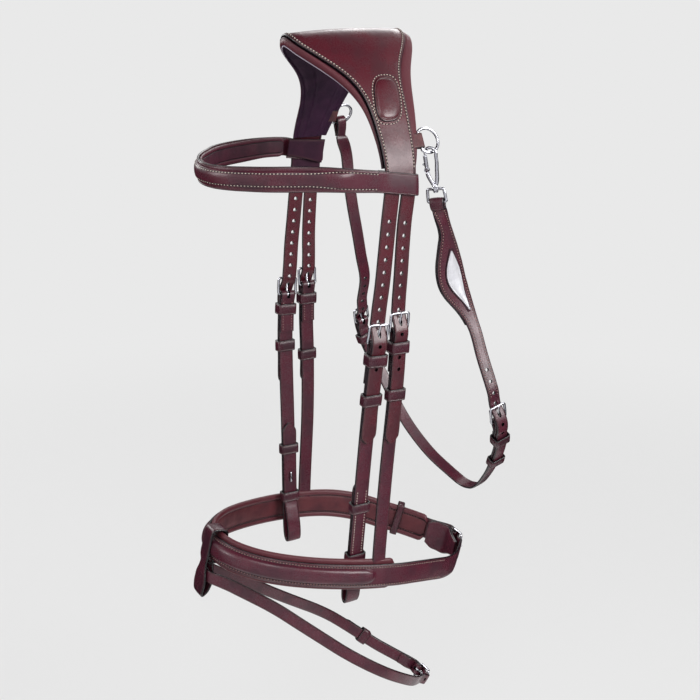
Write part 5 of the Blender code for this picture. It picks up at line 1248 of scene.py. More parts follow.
def nearest(line, spot, reach):
    """The distance on a line's last stretch that lies closest to a buckle's tongue."""
    late = (line.run > line.length - reach) & (line.run < line.length - 0.012)
    gap = np.linalg.norm(line.at - spot.put((0, HOLE_ALONG, HOLE_OUT))[0], axis=1)
    return line.run[np.argmin(np.where(late, gap, 9.0))]


print("a fold is", len(FOLD), "points round a bar")

# %% The side straps' lines
CHEEK_TOP = ((92.2, -9.3, -130), (92.2, -12.0, -153), (92.5, -15.6, -186), (92.8, -18.8, -214))
CHEEK_LINE = ((93.0, -24.9, -270), (92.0, -27.2, -295), (89.5, -30, -329), (86.5, -32.3, -370),
              (82.5, -34.5, -420), (78, -37, -480), (76, -38, -505), (73.5, -39, -540),
              (71.5, -39.6, -575))
HANGER_TOP = ((92.2, 8.6, -130), (92.2, 5.2, -156), (92.3, 3.2, -182), (92.3, 1.9, -206))
HANGER_LINE = ((92.4, -0.3, -262), (92.1, -1.8, -300), (91.5, -3, -336), (90.8, -5.5, -380),
               (89.9, -8, -420), (89.0, -11.5, -470), (88.5, -13.7, -505), (88.4, -14.6, -534))
# How far each lower strap hangs rearward of its drawn line
SWAY = {("cheek", 1): 0.0, ("cheek", -1): 2.6, ("hanger", 1): -4.0, ("hanger", -1): 4.6}
LINES = {"cheek": (CHEEK_TOP, CHEEK_LINE, CHEEK), "hanger": (HANGER_TOP, HANGER_LINE, HANGER)}


SWAY_FROM, SWAY_OVER = 290, 110      # millimetres down: where the sway starts, and over how many


def side_rows(points, sign, half, sway=0.0):
    """Rows for one side: x and the width direction change sign on the far side. The sway to the
    rear grows evenly from the buckles down, until it is full."""
    return [(x * MM * sign, (y + sway * min(1, max(0, (-z - SWAY_FROM) / SWAY_OVER))) * MM,
             z * MM, 0, -sign, 0, half) for x, y, z in points]


side_base, side_bar = {}, {}
for word, sign in SIDES.items():
    for which, (top, line, half) in LINES.items():
        side_base[which, sign] = Line(side_rows(line, sign, half, SWAY[which, sign]))
        bar, above = (np.array(p) * MM * (sign, 1, 1) for p in (line[0], top[-1]))
        across = np.cross(above - bar, (sign, 0, 0))
        side_bar[which, sign] = Frame(bar, across, above - bar)
print("side lines", {key: round(line.length, 3) for key, line in side_base.items()})

# %% The billets that the crown splits into
HOLES, OVER_FOLD = 13, 0.0039
BILLET_ENDS = {"cheek": (-0.366, 9), "hanger": (-0.370, 8)}   # lowest height, and hole in use
for word, sign in SIDES.items():
    for which, (top, line, half) in LINES.items():
        base, spot = side_base[which, sign], side_bar[which, sign]
        start = (92.2, top[0][1] + 0.8, -117.5)
        rows = side_rows((start, *top), sign, half)
        rows += spot.rows(PASS[:-1], (0, -sign, 0), half)
        low, in_use = BILLET_ENDS[which]
        ends = base.where(2, spot.place[2] - 0.016), base.where(2, low)
        rows += base.rows(*ends, OVER_FOLD, half, 0.03)
        billet = Line(tip(rows, 0.007, 0.0022))
        made = strap(f"{word}_{which}_billet", billet, CROWN_HIDE, "headpiece_leather")
        used = billet.where(2, spot.put((0, HOLE_ALONG, 0))[0, 2])
        punch(made, billet, used, -in_use, HOLES - in_use)
# The far crown's root, in the shade leather: painted shade below the far loop
root = ((92.2, -0.2, -117.5), (92.2, -0.6, -130), (92.2, -2.2, -141), (92.2, -3.6, -150))
strap("far_crown_root", Line(side_rows(root, -1, 0.0171)), SHADE_HIDE, thick=0.0028)
tell("_billet")

# %% [markdown]
# ## Cheekpieces
# A cheekpiece hangs from its buckle to the bit. Its lower end turns back through the bit's ring,
# which isn't here, and hooks on a small stud behind. The fold stands open, as it does in use.
# The strap could be made of a straight part and two folds, but then the joins would show, so it
# is one strip from end to end.

# %% Cheekpieces
LOOP_PATH = ((-0.535, 0.0010), (-0.549, 0.0006), (-0.5565, -0.0012), (-0.5602, -0.0045),
             (-0.5580, -0.0080), (-0.5500, -0.0096), (-0.5380, -0.0086), (-0.5250, -0.0052),
             (-0.5140, -0.0023), (-0.5050, -0.0019))
TURNED_BACK, EDGE_SEAM = 0.0019, 0.0032
STUD = ((0, 0, -0.0020), (0, 0, -0.0034), (0, -0.0006, -0.0046), (0, -0.0020, -0.0054),
        (0, -0.0050, -0.0056), (0, -0.0120, -0.0050))
BIT_LOOP = {1: (0.86, 0.0), -1: (1.0, 0.0062)}       # how far it stands open, and how much higher


def edge_rows(base, start, stop, half, out):
    """Stitch rows along both edges of a strap, at a distance outward."""
    return [line_row(base, start, stop, k * (half - EDGE_SEAM), out) for k in (-1, 1)]


def sewn_end(name, base, half):
    """The stitches that close a folded end: two rows on its face, and two on its back."""
    for face, out, thread in (("front", ON_FRONT, PLUM_THREAD), ("chape", ON_BACK, PINK_THREAD)):
        stitch_rows(f"{name}_{face}_stitching",
                    edge_rows(base, 0.0080, CHAPE - 0.001, half, out), thread, pitch=0.0029)


for word, sign in SIDES.items():
    base, spot = side_base["cheek", sign], side_bar["cheek", sign]
    open_by, rise = BIT_LOOP[sign]
    rows = folded(base, spot, CHEEK)[:-1]
    rows += base.rows(PLAIN_FROM, base.where(2, -0.520), FRONT_PLY, CHEEK, 0.03)
    for z, out in LOOP_PATH:
        if out < -TURNED_BACK:
            out = -TURNED_BACK + (out + TURNED_BACK) * open_by
        here = base.frame(base.where(2, z + rise))
        rows.append(np.concatenate([here.put((0, 0, out))[0], here.axes[:, 0], [CHEEK]]))
    rows += base.rows(base.where(2, -0.490), base.where(2, -0.424), -TURNED_BACK, CHEEK, 0.03)
    made = strap(word + "_cheek_strap", Line(tip(rows, 0.008, 0.0022)), STRAP_HIDE,
                 word + "_cheekpiece")
    tongue_slot(made, spot)
    buckle(word + "_cheek", spot, CHEEK)
    stud = wire(STUD, 0.0013, (1, 0, 0), 12)
    piece(word + "_bit_stud", *moved(base.frame(base.where(2, -0.484)), stud), STEEL, "bridle",
          word + "_hook_stud")
    for kind, z, low, high, length, grooves in (
            ("_cheek_keeper", -0.2865, -0.0031, 0.0067, 0.0120, (KEEPER_CREASE,)),
            ("_cheek_runner", -0.3272, -0.0007, 0.0056, 0.0120, (KEEPER_CREASE,)),
            ("_bit_keeper_upper", -0.4460, -0.0036, 0.0031, 0.0110, (KEEPER_CREASE,)),
            ("_bit_keeper_lower", -0.5050 + rise / 2, -0.0042, 0.0031, 0.0110,
             (KEEPER_CREASE, 0.0055))):
        keeper(word + kind, base.frame(base.where(2, z)), CHEEK, low, high, length, grooves)
    sewn_end(word + "_cheek", base, CHEEK)
    rows = edge_rows(base, base.where(2, -0.427), base.where(2, -0.500), CHEEK, ON_FRONT)
    stitch_rows(word + "_cheek_low_stitching", rows, CREAM_THREAD, pitch=0.0030)
tell("_cheek_")

# %% [markdown]
# ## Noseband hangers
# A second, lighter strap on each side carries the noseband and is sewn between it and its lining.
# It could be modelled on its own, but it has the cheekpiece's fold and buckle, so the same helpers
# make it from its own line.

# %% Hangers
RUNNER_Z = {1: -0.3258, -1: -0.3430}
for word, sign in SIDES.items():
    base, spot = side_base["hanger", sign], side_bar["hanger", sign]
    rows = folded(base, spot, HANGER)[:-1]
    rows += base.rows(PLAIN_FROM, base.where(2, -0.531), FRONT_PLY, HANGER, 0.03)
    made = strap(word + "_hanger_strap", Line(rows), STRAP_HIDE, word + "_noseband_hanger")
    tongue_slot(made, spot)
    buckle(word + "_hanger", spot, HANGER)
    keeper(word + "_hanger_keeper", base.frame(base.where(2, -0.2780)), HANGER, -0.0031, 0.0064,
           0.0120)
    keeper(word + "_hanger_runner", base.frame(base.where(2, RUNNER_Z[sign])), HANGER, -0.0007,
           0.0056, 0.0120)
    sewn_end(word + "_hanger", base, HANGER)
tell("_hanger_")

# %% [markdown]
# ## The noseband
# The noseband starts at its buckle on the far side of the chin, runs round the nose and comes
# back through the buckle, so its billet lies over its own start. Over the nose its middle stands
# up over padding, in a panel whose ends are round. Inside is a lining with a roll on each edge.
# A circle couldn't lie over its own start, so the ring is one long open line.

# %% Noseband leather
NOSE_LINE = ((-24, 133, -570), (-45, 118, -565.5), (-60, 103, -560.5), (-72, 84, -553.5),
             (-84, 60, -543.5), (-92, 30, -534), (-94, 0, -527), (-90, -45, -518.5),
             (-77, -90, -509.5), (-60, -124, -502), (-44, -143, -497.5), (-27.5, -156, -494.5),
             (-13.5, -161.5, -493), (0, -162.5, -492.4), (14, -161.5, -493), (29, -156, -494.7),
             (46.5, -143, -498), (62.5, -124, -502), (78.5, -90, -509), (90, -45, -518),
             (94, 0, -527), (91, 28, -533.5), (82.5, 56, -543), (70.5, 79, -553.5),
             (57.5, 98, -560.5), (43, 113.5, -565.5), (23, 130.5, -570))
CHIN_BAR, CHIN_PITCH, OVER_START = (-6, 141.5, -573), 0.015, 0.0038
PANEL_RISE, PANEL_END, PANEL_BACK, NOSE_SEAM = 0.0042, 0.0150, -0.024, 0.0030
CHIN_TOWARD, CHIN_OUTWARD = np.array((0.97, -0.215, 0.07)), (0.20, 0.95, -0.24)
nose_base = Line(mm_rows((CHIN_BAR, *NOSE_LINE), (0, -0.25, -0.97), NOSE))
chin_bar = Frame(np.array(CHIN_BAR) * MM, np.cross(CHIN_TOWARD, CHIN_OUTWARD), CHIN_TOWARD)


def closing(base, spot, half, far_length, width):
    """The end of a ring strap: up to its buckle, through it, and out over its own start."""
    rows = spot.rows(PASS[1:], -spot.axes[:, 0], half)
    return tip(rows + base.rows(0.030, far_length, OVER_START, half, 0.015), 0.008, width)


rows = folded(nose_base, chin_bar, CHIN, 0.030)
rows += nose_base.rows(0.036, nose_base.length - 0.040, 0.0, NOSE)
rows += nose_base.rows(nose_base.length - 0.014, nose_base.length - 0.004, 0.0, CHIN)
rows += closing(nose_base, chin_bar, CHIN, 0.088, 0.0040)
nose = Line(rows)
in_front = (nose.at[:, 1] < PANEL_BACK) & (nose.run < nose.length - 0.2)
panel = nose.where(1, PANEL_BACK), nose.run[np.nonzero(in_front)[0][-1]]


def panel_rise(distance, at):
    """The panel's full height, eased at its ends, where the raised width shrinks as a half
    circle does: 1 - the root of 1 - (1 - share) ** 2."""
    share = np.clip(np.minimum(distance - panel[0], panel[1] - distance) / PANEL_END, 0, 1)
    return PANEL_RISE * ease(0, 0.30, share), 0.62 * (1 - np.sqrt(1 - (1 - share) ** 2))


def nose_seam(distance, at, half):
    """The seam's distance from the edge where the noseband is sewn, and 0 elsewhere."""
    return NOSE_SEAM * ((distance > sewn[0]) & (distance < sewn[1]))


sewn = (nose.where(1, 0.040), nose.run[np.nonzero(nose.at[:, 1] < 0.070)[0][-1]])
made = strap("noseband", nose, STRAP_HIDE, "noseband_leather", rise=panel_rise, step=0.0016,
             sewn=nose_seam)
tongue_slot(made, chin_bar)
punch(made, nose, nearest(nose, chin_bar, 0.20), -2, 4, 0.0021, 0.0042, CHIN_PITCH)
buckle("chin", chin_bar, CHIN)
print("noseband", round(nose_base.length, 4), "m round")

# %% Noseband lining
LINING, LIFTED = 0.0168, 0.0003
NOSE_PAD = [(-0.80, 2.45), (-0.93, 2.0), (-1.0, 0.3), (-0.96, -1.7), (-0.84, -2.9), (-0.68, -2.4),
            (-0.60, -0.5), (-0.52, -1.5), (-0.25, -2.1), (0.25, -2.1), (0.52, -1.5), (0.60, -0.5),
            (0.68, -2.4), (0.84, -2.9), (0.96, -1.7), (1.0, 0.3), (0.93, 2.0), (0.80, 2.45),
            (0.3, 2.4), (-0.3, 2.4)]
start = nose_base.where(0, -0.036)
late = (nose_base.run > nose_base.where(0, 0.0)) & (nose_base.at[:, 1] < -0.0020)
stop = nose_base.run[np.nonzero(late)[0][-1]]
padded_band("nose_lining", nose_base, start, stop, LINING, NOSE_PAD, -0.0042, -LIFTED,
            "noseband_lining", ROLL_HIDE)
tell("nose_lining")

# %% Noseband stitching and chin keeper
rows = [line_row(nose, *sewn, k * (NOSE - NOSE_SEAM), 0.00135) for k in (-1, 1)]
stitch_rows("noseband_stitching", rows, PINK_THREAD, thick=0.00056)
# Dark spindles between the stitches: painted shade in the holes
stitch_rows("noseband_stitch_hole_shade", rows, STITCH_HOLE_SHADE, later=0.5)
rows = [line_row(nose_base, start + 0.012, stop - 0.010, k * LINING * 0.60 - LIFTED, -0.0053)
        for k in (-1, 1)]
stitch_rows("nose_lining_stitching", rows, PLUM_THREAD, pitch=0.0033, thick=0.0005)
spot = nose_base.frame(0.071)
spot.place = spot.put((-LIFTED, 0, 0))[0]
keeper("chin_keeper", spot, LINING, -0.0075, 0.0056, 0.0080)
x = np.linspace(-0.0150, 0.0150, 12)
rows = [(spot.put(np.column_stack([x, 0 * x + side, 0 * x + 0.0075])),
         np.tile(spot.axes[:, 2], (12, 1))) for side in (-0.0022, 0.0022)]
stitch_rows("chin_keeper_stitching", rows, CREAM_THREAD, pitch=0.0030)
tell("noseband_stitch")

# %% Chin guard
DEEP, DROP = -0.0068, 0.0016
side = -chin_bar.axes[:, 0]
rows = chin_bar.rows([(0.026, DEEP), (0.012, DEEP)], side, 0.0125)
rows += nose_base.rows(0.004, 0.030, DEEP, 0.0172, 0.009)
rows = [np.concatenate([row[:3] + np.array(row[3:6]) * DROP, row[3:]]) for row in rows]
rows[0][6], rows[-1][6] = 0.0090, 0.0130
strap("chin_guard", Line(rows), STRAP_HIDE, "chin_pad", thick=0.0036)
tell("chin_")

# %% [markdown]
# ## The flash
# A short loop of leather rides on the front of the noseband and carries the flash strap below.
# It is one strip wrapped twice: up and round the noseband, and down round a leaf-shaped hanging
# end. Its width follows the leaf's outline, so it is a function of height.

# %% Flash loop
NOSE_FRONT = np.array((-162.5, -491.9))
FLASH_WIDTHS = np.array(((-63, 2.6), (-54, 7.4), (-47, 10.6), (-39, 12.2), (-31, 11.3),
                         (-24, 8.4), (-17, 6.6), (-9, 9), (26, 9)))
LEAN = math.radians(14.5)
LEAF_BACK = ((-165.6, -505.0), (-166.0, -511.0), (-167.4, -519.3), (-170.0, -528.2),
             (-173.0, -536.3), (-176.6, -542.0), (-179.2, -543.9), (-180.5, -541.8),
             (-180.0, -537.0), (-177.9, -529), (-175.6, -519.1), (-173.4, -511.8), (-172.4, -507.0))
BAND = ((-6.4, -13.5), (-6.4, 0), (-6.4, 14.5), (-5.0, 17.6), (-2.0, 18.5), (6.0, 18.5),
        (9.2, 17.4), (10.2, 14.5), (10.2, 0), (10.2, -13.5), (9.0, -16.6), (6.0, -17.5),
        (-2.0, -17.5), (-4.6, -16.8))
y, z = np.array(BAND).T
band = NOSE_FRONT + np.column_stack([y * math.cos(LEAN) + z * math.sin(LEAN),
                                     -y * math.sin(LEAN) + z * math.cos(LEAN)])
around = np.vstack([LEAF_BACK, band]) * MM
path = smooth(np.column_stack([around, np.zeros(len(around))]), 6)
half = np.interp(path[:, 1] / MM - NOSE_FRONT[1], *FLASH_WIDTHS.T) * MM
flash_loop = Line([(0, y, z, 1, 0, 0, h) for (y, z, _), h in zip(path[::2], half[::2])])
strap("flash_keeper_loop", flash_loop, TRIM_HIDE, "flash_loop", thick=0.0022, step=0.0015)
tell("flash_keeper_loop")

# %% Flash strap
FLASH_LINE = ((-22, 86, -729), (-43, 61, -712), (-56, 38, -692), (-63, 12, -669),
              (-61, -11, -650), (-54, -36, -630), (-47, -61, -610), (-40, -84, -591),
              (-33, -110, -569), (-26.5, -141, -547), (-20.5, -161.5, -530), (-14, -171.2, -522.4),
              (0, -172.2, -521.6), (14, -171.2, -521.8), (20.5, -161.5, -526), (26.5, -141, -541),
              (33, -110, -566), (40, -84, -590), (47, -61, -611.2), (54, -36, -634),
              (61, -11, -654), (63, 12, -671.5), (56, 38, -692), (43, 61, -711), (22, 86, -729))
FLASH_BAR = (-5, 97, -737.5)
UPRIGHT, SLOPED = np.array((0.0, -0.24, -0.97)), np.array((0.0, -0.62, -0.78))
FLASH_TOWARD, FLASH_OUTWARD = np.array((0.985, -0.13, 0.105)), (0.17, 0.76, -0.62)
TURNS_AT, TURNS_OVER = -140, 25      # in front of this y it turns from sloped to upright
rows = []
for x, y, z in (FLASH_BAR, *FLASH_LINE):
    share = min(1.0, max(0.0, (TURNS_AT - y) / TURNS_OVER))
    rows.append((x * MM, y * MM, z * MM, *(SLOPED + (UPRIGHT - SLOPED) * share), FLASH))
flash_base = Line(rows)
flash_bar = Frame(np.array(FLASH_BAR) * MM, np.cross(FLASH_TOWARD, FLASH_OUTWARD), FLASH_TOWARD)
rows = folded(flash_base, flash_bar, FLASH, 0.026)
rows += flash_base.rows(0.036, flash_base.length - 0.004, 0.0, FLASH)
rows += closing(flash_base, flash_bar, FLASH, 0.105, 0.0020)
flash = Line(rows)
made = strap("flash_lower_strap", flash, STRAP_HIDE, "flash_strap")
tongue_slot(made, flash_bar)
punch(made, flash, nearest(flash, flash_bar, 0.20), -2, 4, 0.0020, 0.0042)
buckle("flash", flash_bar, FLASH)
keeper("flash_keeper", flash_base.frame(0.0775), FLASH, -0.0018, 0.0056, 0.0110)
tell("flash")

# %% [markdown]
# ## The throatlatch
# The throatlatch hangs loose under the throat, with a buckle at each end. On the far side its
# billet is folded on a D-ring; on the near side it hangs from a swivel snap. A hanging loop's
# width keeps one direction all the way, so its line and that direction are enough.

# %% Throatlatch
ACROSS = (0.0, -0.966, -0.26)
THROAT_LINE = ((121, 104.5, -380), (114.6, 109.5, -395), (105, 113.6, -412), (93, 118.6, -431),
               (74.5, 125.6, -452), (48, 136.6, -475.6), (22, 146.6, -491), (0, 150.4, -497),
               (-22, 147.2, -491.6), (-48, 137.8, -477.3), (-75, 127, -453), (-94, 120.5, -431),
               (-106, 116, -412), (-115.5, 111.5, -395), (-122, 106, -380), (-129, 94, -346))
BARS = {"near": ((125.2, 99.6, -364), (126.6, 91.2, -340)),
        "far": ((-125.5, 88.6, -327), (-115, 84, -300))}
throat_base = Line(mm_rows((BARS["near"][0], *THROAT_LINE, BARS["far"][0]), ACROSS, THROAT))
FULL, THROAT_CHAPE, THROAT_SEAM = throat_base.length, 0.034, 0.0030
throat_bar = {word: Frame(np.array(bar) * MM, np.array(ACROSS) * -SIDES[word],
                          np.array(above) - np.array(bar)) for word, (bar, above) in BARS.items()}
rows = folded(throat_base, throat_bar["near"], THROAT, THROAT_CHAPE)
rows += throat_base.rows(0.026, FULL - 0.026, FRONT_PLY)
rows += throat_base.rows(FULL - PLAIN_FROM, FULL - FOLD_ENDS, FRONT_PLY, THROAT)
rows += throat_bar["far"].rows(FOLD[::-1], ACROSS, THROAT)
rows += throat_base.rows(FULL - FOLD_ENDS, FULL - THROAT_CHAPE, BACK_PLY, THROAT, 0.010)
made = strap("throatlatch", Line(rows), STRAP_HIDE, "throat_strap")
for word, spot in throat_bar.items():
    tongue_slot(made, spot)
    buckle(word + "_throat", spot, THROAT)
for name, at, low, high in (("near_throat_keeper", 0.0250, -0.0031, 0.0064),
                            ("near_throat_runner", 0.0620, -0.0009, 0.0062),
                            ("far_throat_keeper", FULL - 0.0245, -0.0031, 0.0064)):
    keeper(name, throat_base.frame(at), THROAT, low, high, 0.0110)
rows = [line_row(throat_base, a, b, k * (THROAT - THROAT_SEAM), out)
        for out in (ON_BACK, ON_FRONT) for k in (-1, 1)
        for a, b in ((0.008, 0.033), (FULL - 0.033, FULL - 0.008))]
stitch_rows("throatlatch_stitching", rows, PLUM_THREAD, pitch=0.0029)
tell("throat")

# %% [markdown]
# ## D-rings and their tabs
# At the crown's rear edge a tab of rough leather holds a D-ring on each side. The ring's
# straight side lies in the tab's fold, so the ring swings about it. A cut torus would leave two
# ends to close; here an arc and a straight row of points are one closed path for the wire.

# %% Tabs and rings
TABS = {1: (0.0290, -0.0860), -1: (0.0255, -0.0805)}
TAB_HALF, TAB_THICK = 0.0070, 0.0018
RING_RADIUS, RING_CENTRE, RING_WIRE = 0.0118, 0.0076, 0.0015
# The tab: out along its underside, round the ring's bar, and back along its top
TAB_PATH = ((0.0190, -0.0010), (0.0120, -0.0010), (0.0055, -0.0013), (0.0022, -0.0021),
            (0.0, -0.00255), (-0.0018, -0.0018), (-0.00255, 0.0), (-0.0018, 0.0018),
            (0.0, 0.00255), (0.0022, 0.0021), (0.0055, 0.0013), (0.0120, 0.0010), (0.0190, 0.0010))
tab_spot = {}
for word, sign in SIDES.items():
    y, z = TABS[sign]
    run = arch_run_at(z)
    height = height_of(run) - HIDE / 2 - 0.0012 - TAB_THICK / 2
    here, below = (over_arch(np.array(r), np.array(y - 0.012), height) for r in (run, run + 0.004))
    down = unit((below - here) * (sign, 0, 1))
    spot = Frame((here[0] * sign, y, here[2]), down * -sign, (0, -1, 0))
    tab_spot[sign] = spot
    strap(word + "_tab", Line(spot.rows(TAB_PATH, -spot.axes[:, 0], TAB_HALF)), TAB_HIDE,
          word + "_ring_tab", thick=0.0014, step=0.001)
    start = math.asin(RING_CENTRE / RING_RADIUS)
    turn = start - (math.pi + 2 * start) * np.arange(49) / 48
    ring = np.column_stack([RING_RADIUS * np.cos(turn),
                            -RING_CENTRE + RING_RADIUS * np.sin(turn), 0 * turn])
    bar = ring[-1] + (ring[0] - ring[-1]) * np.linspace(0, 1, 12)[1:-1, None]
    bar[:, 1] = 0.0
    bent = rod(np.vstack([ring, bar]), RING_WIRE, (0, 0, 1), 14, True)
    piece(word + "_ring", *moved(spot, bent), STEEL, word + "_d_ring", word + "_d_ring")


def ring_low(sign, turn=0.0):
    """A low point of a D-ring's round side, turned rearward from the lowest one."""
    angle = math.radians(turn)
    return tab_spot[sign].put((-sign * RING_RADIUS * math.cos(angle),
                               -RING_CENTRE - RING_RADIUS * math.sin(angle), 0.0))[0]


tell("_tab")
tell("_ring")

# %% The far billet, folded on its ring
FAR_BILLET = ((-88, 46, -122), (-88, 49.5, -152), (-86.5, 53, -180), (-86.5, 59, -210),
              (-90, 66, -238), (-97, 75, -266))
hold = ring_low(-1, 11)
back = [-c for c in ACROSS]
fold_spot = Frame(hold, (0.98, 0, -0.19), (0.19, -0.12, 0.98))
DRAWN, OVER_THROAT = 0.0052, 0.0042      # the leather is drawn in where it passes the ring
around = ((-0.0150, 0.0016), (-0.0110, 0.0022), (-0.0060, 0.0034), (-0.0020, 0.0040),
          (0.0022, 0.0039), (0.0052, 0.0030), (0.0066, 0.0), (0.0052, -0.0030),
          (0.0022, -0.0039), (-0.0020, -0.0040), (-0.0060, -0.0030), (-0.0105, -0.0014))
rows = [np.concatenate([fold_spot.put((x, y, 0))[0], fold_spot.axes[:, 2], [DRAWN]])
        for y, x in around]
low = hold * 1000
rows += mm_rows(((low[0], low[1] + 2.0, low[2] - 16.0),), (0, 1, 0), DRAWN + 0.0012)
rows += mm_rows(FAR_BILLET, back, THROAT)
rows += throat_bar["far"].rows(PASS[:-1], back, THROAT)
rows += throat_base.rows(FULL - 0.016, FULL - 0.055, OVER_THROAT, THROAT, 0.01, -1)
billet = Line(tip(rows, 0.006, 0.0020))
made = strap("far_throat_leather", billet, STRAP_HIDE, "far_throat_billet")
punch(made, billet, nearest(billet, throat_bar["far"], 0.15), -5, 3)
tell("far_throat")

# %% [markdown]
# ## The snap
# The near billet hangs from a cast swivel snap: an eye for the strap, a post that turns in it,
# a hook round the D-ring and a sprung gate with a thumb nub. It could be sculpted as one lump,
# but its parts turn on their own axes, so each is bent or turned in a frame set on its axis.

# %% Snap
SNAP_FOOT, SNAP_FACING = np.array((0.0884, 0.0415, -0.1300)), np.array((0.82, 0.57, 0.0))
EYE_WIRE, EYE_TOP, EYE_LOW, EYE_DROP = 0.0015, 0.0080, 0.0094, 0.0125
SNAP_WIRE, SNAP_TIP, HOOK, LEVER, NUB = 0.0021, 0.0013, 0.0057, 0.0019, 0.0012
snap_up = ring_low(1) - SNAP_FOOT
SNAP_REACH = float(np.linalg.norm(snap_up))
snap_depth = unit(np.cross(SNAP_FACING, snap_up))
snap = Frame(SNAP_FOOT, np.cross(unit(snap_up), snap_depth), snap_up)
GATE_X, GATE_Y = -0.0056, SNAP_REACH - 0.0160
gate = Frame(snap.put((GATE_X, GATE_Y, 0))[0], snap.axes[:, 0], snap.axes[:, 1])


def turned(points, spot, axis=1):
    """A turned part: (place along the axis, radius) pairs, with the two ends closed."""
    points = np.array(points)
    path = np.zeros((len(points), 3))
    path[:, axis] = points[:, 0]
    angle = circle(20)
    first, second = (np.tile(np.roll((1.0, 0, 0), axis + k), (len(points), 1)) for k in (1, 2))
    return moved(spot, sweep(path, first, second, points[:, 1:] * np.cos(angle),
                             points[:, 1:] * np.sin(angle)))


corners = np.array([(-EYE_TOP + 0.0012, 0), (-0.003, 0), (0.003, 0), (EYE_TOP - 0.0012, 0),
                    (EYE_TOP + 0.0003, -0.0014), (EYE_LOW - 0.0004, -EYE_DROP + 0.0028),
                    (EYE_LOW - 0.0004, -EYE_DROP + 0.0010), (EYE_LOW - 0.0020, -EYE_DROP),
                    (0.003, -EYE_DROP), (-0.003, -EYE_DROP), (-EYE_LOW + 0.0020, -EYE_DROP),
                    (-EYE_LOW + 0.0004, -EYE_DROP + 0.0010),
                    (-EYE_LOW + 0.0004, -EYE_DROP + 0.0028),
                    (-EYE_TOP - 0.0003, -0.0014)])
path = closed_weights(len(corners), 5) @ corners
eye = rod(np.column_stack([path, 0 * path[:, 0]]), EYE_WIRE, (0, 0, 1), 14, True)
boss = turned(((-0.0017, 0.0016), (-0.0017, 0.0027), (-0.0012, 0.0031), (0.0012, 0.0031),
               (0.0017, 0.0027), (0.0017, 0.0016)), snap)
piece("snap_swivel_eye", *join(moved(snap, eye), boss), STEEL, "bridle", "snap_eye")
tell("snap")

# %% Hook and gate
centre = SNAP_REACH - 0.0012
hook_angle = np.radians(-20 + 200 * np.arange(17) / 16)
hook = [(0.0008, 0.0030, 0), (0.0030, 0.0090, 0), (0.0042, 0.0180, 0),
        (0.0052, centre - 0.0080, 0)]
hook += [(HOOK * math.cos(a), centre + HOOK * math.sin(a), 0) for a in hook_angle]
leg = ((-0.0006, 0.0030, 0), (-0.0030, 0.0080, 0), (GATE_X + 0.0006, GATE_Y - 0.0060, 0),
       (GATE_X, GATE_Y - 0.0016, 0))
parts = [moved(snap, wire(hook, SNAP_WIRE, (0, 0, 1), tip=SNAP_TIP)),
         moved(snap, wire(leg, SNAP_WIRE, (0, 0, 1)))]
parts.append(turned(((0.0019, 0.0012), (0.0020, 0.0024), (0.0026, 0.0029), (0.0034, 0.0026),
                     (0.0040, 0.0029), (0.0047, 0.0026), (0.0052, 0.0012)), snap))
parts.append(turned(((-0.0036, 0.0006), (-0.0034, 0.0020), (-0.0028, 0.0024), (-0.0021, 0.0024),
                     (-0.0020, 0.0012), (0.0030, 0.0012)), snap))
for side in (-1, 1):
    parts.append(turned(((side * 0.00125, 0.0008), (side * 0.0013, 0.0022), (side * 0.0018, 0.0023),
                         (side * 0.0024, 0.0021), (side * 0.0026, 0.0009)), gate, 2))
parts.append(turned(((-0.0030, 0.0004), (-0.0029, 0.0008), (0.0029, 0.0008), (0.0030, 0.0004)),
                    gate, 2))
piece("snap_hook", *join(*parts), STEEL, "snap_body", "snap_body")
lever = wire([(0, 0.0012, 0), (0, 0.0064, 0), (0, 0.0148, 0)], LEVER, (0, 0, 1))
nub = wire([(-0.0004, 0.0050, 0), (-0.0020, 0.0052, 0), (-0.0036, 0.0055, 0)], NUB, (0, 0, 1))
barrel = turned(((-0.0011, 0.0009), (-0.0011, 0.0019), (-0.0008, 0.0021), (0.0008, 0.0021),
                 (0.0011, 0.0019), (0.0011, 0.0009)), gate, 2)
piece("snap_spring_gate", *join(moved(gate, lever), moved(gate, nub), barrel), STEEL, "snap_gate",
      "snap_gate")
tell("snap")

# %% [markdown]
# ## The near billet and its plate
# Below the snap the billet widens into a leaf that carries a small domed plate. It is a strap
# like the others, with its half width given point by point, and so is the bare plate.

# %% Leaf billet
LEAF_SEAM, LEAF_FOLD = 0.0028, 0.0003     # from its edge to its stitches, and how much wider it is
LEAF_SEWN = (-0.148, -0.336)              # heights between which its seam runs
LEAF_LINE = ((87.2, 51.4, -162, 7.0), (86.7, 56.2, -175, 7.6), (86.4, 58.6, -189, 11.0),
             (86.9, 60.8, -208, 15.0), (88.0, 63.4, -222, 15.6), (89.6, 68.0, -233, 14.3),
             (92.4, 75.2, -247, 10.6), (97.3, 81.4, -263, 7.4), (102.5, 84.2, -276, 6.7))
LEAF_TO_BUCKLE = (111.5, 86.4, -297)
leaf_bar = Frame(snap.put((0, -EYE_DROP, 0))[0], snap.axes[:, 0], snap.axes[:, 1])
away = leaf_bar.put((0, -0.0022, 0))[0]
side = -leaf_bar.axes[:, 0]
rows = [np.concatenate([away, side, [THROAT + LEAF_FOLD]])]
leaf_base = Line(rows + mm_rows(LEAF_LINE, ACROSS))
rows = leaf_base.rows(leaf_base.length - 0.012, 0.0075, -0.0016, None, 0.010)
rows += leaf_bar.rows(FOLD[1:-1], side, THROAT + LEAF_FOLD)
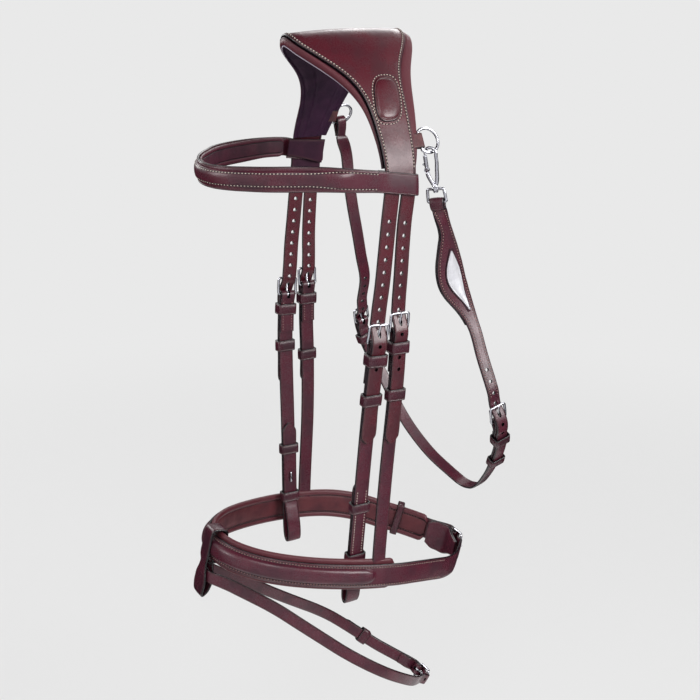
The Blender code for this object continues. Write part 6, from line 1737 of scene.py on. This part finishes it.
rows += leaf_base.rows(0.0060, leaf_base.length, 0.0010, None, 0.010)
rows += mm_rows((LEAF_TO_BUCKLE,), ACROSS, THROAT)
rows += throat_bar["near"].rows(PASS[:-1], ACROSS, THROAT)
rows += throat_base.rows(0.016, 0.066, OVER_THROAT, THROAT, 0.01)
billet = Line(tip(rows, 0.006, 0.0020))


def leaf_seam(distance, at, half):
    """The seam's distance from the edge between two heights, and 0 elsewhere."""
    return LEAF_SEAM * ((at[:, 2] < LEAF_SEWN[0]) & (at[:, 2] > LEAF_SEWN[1]))


made = strap("near_throat_leaf", billet, STRAP_HIDE, "near_throat_billet", sewn=leaf_seam)
punch(made, billet, nearest(billet, throat_bar["near"], 0.15), -4, 4)
rows = [line_row(leaf_base, 0.006, leaf_base.length - 0.010, lambda h, k=k: k * (h - LEAF_SEAM),
                 ON_FRONT) for k in (-1, 1)]
below = [billet.run[np.nonzero(billet.at[:, 2] > z)[0][-1]] for z in (-0.262, LEAF_SEWN[1])]
rows += [line_row(billet, *below, k * (THROAT - LEAF_SEAM), HIDE / 2) for k in (-1, 1)]
stitch_rows("leaf_stitching", rows, PINK_THREAD, pitch=0.0029)

# %% Plate
halves = (0.0006, 0.0044, 0.0072, 0.0080, 0.0068, 0.0044, 0.0022, 0.0006)
distance = np.linspace(leaf_base.where(2, -0.193), leaf_base.where(2, -0.254), len(halves))
at, side, _, out, _ = leaf_base.spot(distance)
place = at - side * 0.0020 + out * (ON_FRONT + 0.0010)
plate = Line(np.column_stack([place, side, halves]))
# A dark rim under the plate, in the shade leather: painted shade round the plate's edge
shade_rim_at = place - out * 0.0007
shade_rim_at[0] += (0, 0, 0.0022)
shade_rim_at[-1] -= (0, 0, 0.0022)
shade_rim = Line(np.column_stack([shade_rim_at, side, np.array(halves) + 0.0014]))
strap("plate_shade_rim", shade_rim, SHADE_HIDE, thick=0.0009, step=0.0012)
strap("name_plate_bare", plate, PLATE, "throat_plate", thick=0.0012, step=0.0012,
      rise=lambda distance, at: 0.0004 + 0 * distance)
tell("plate")
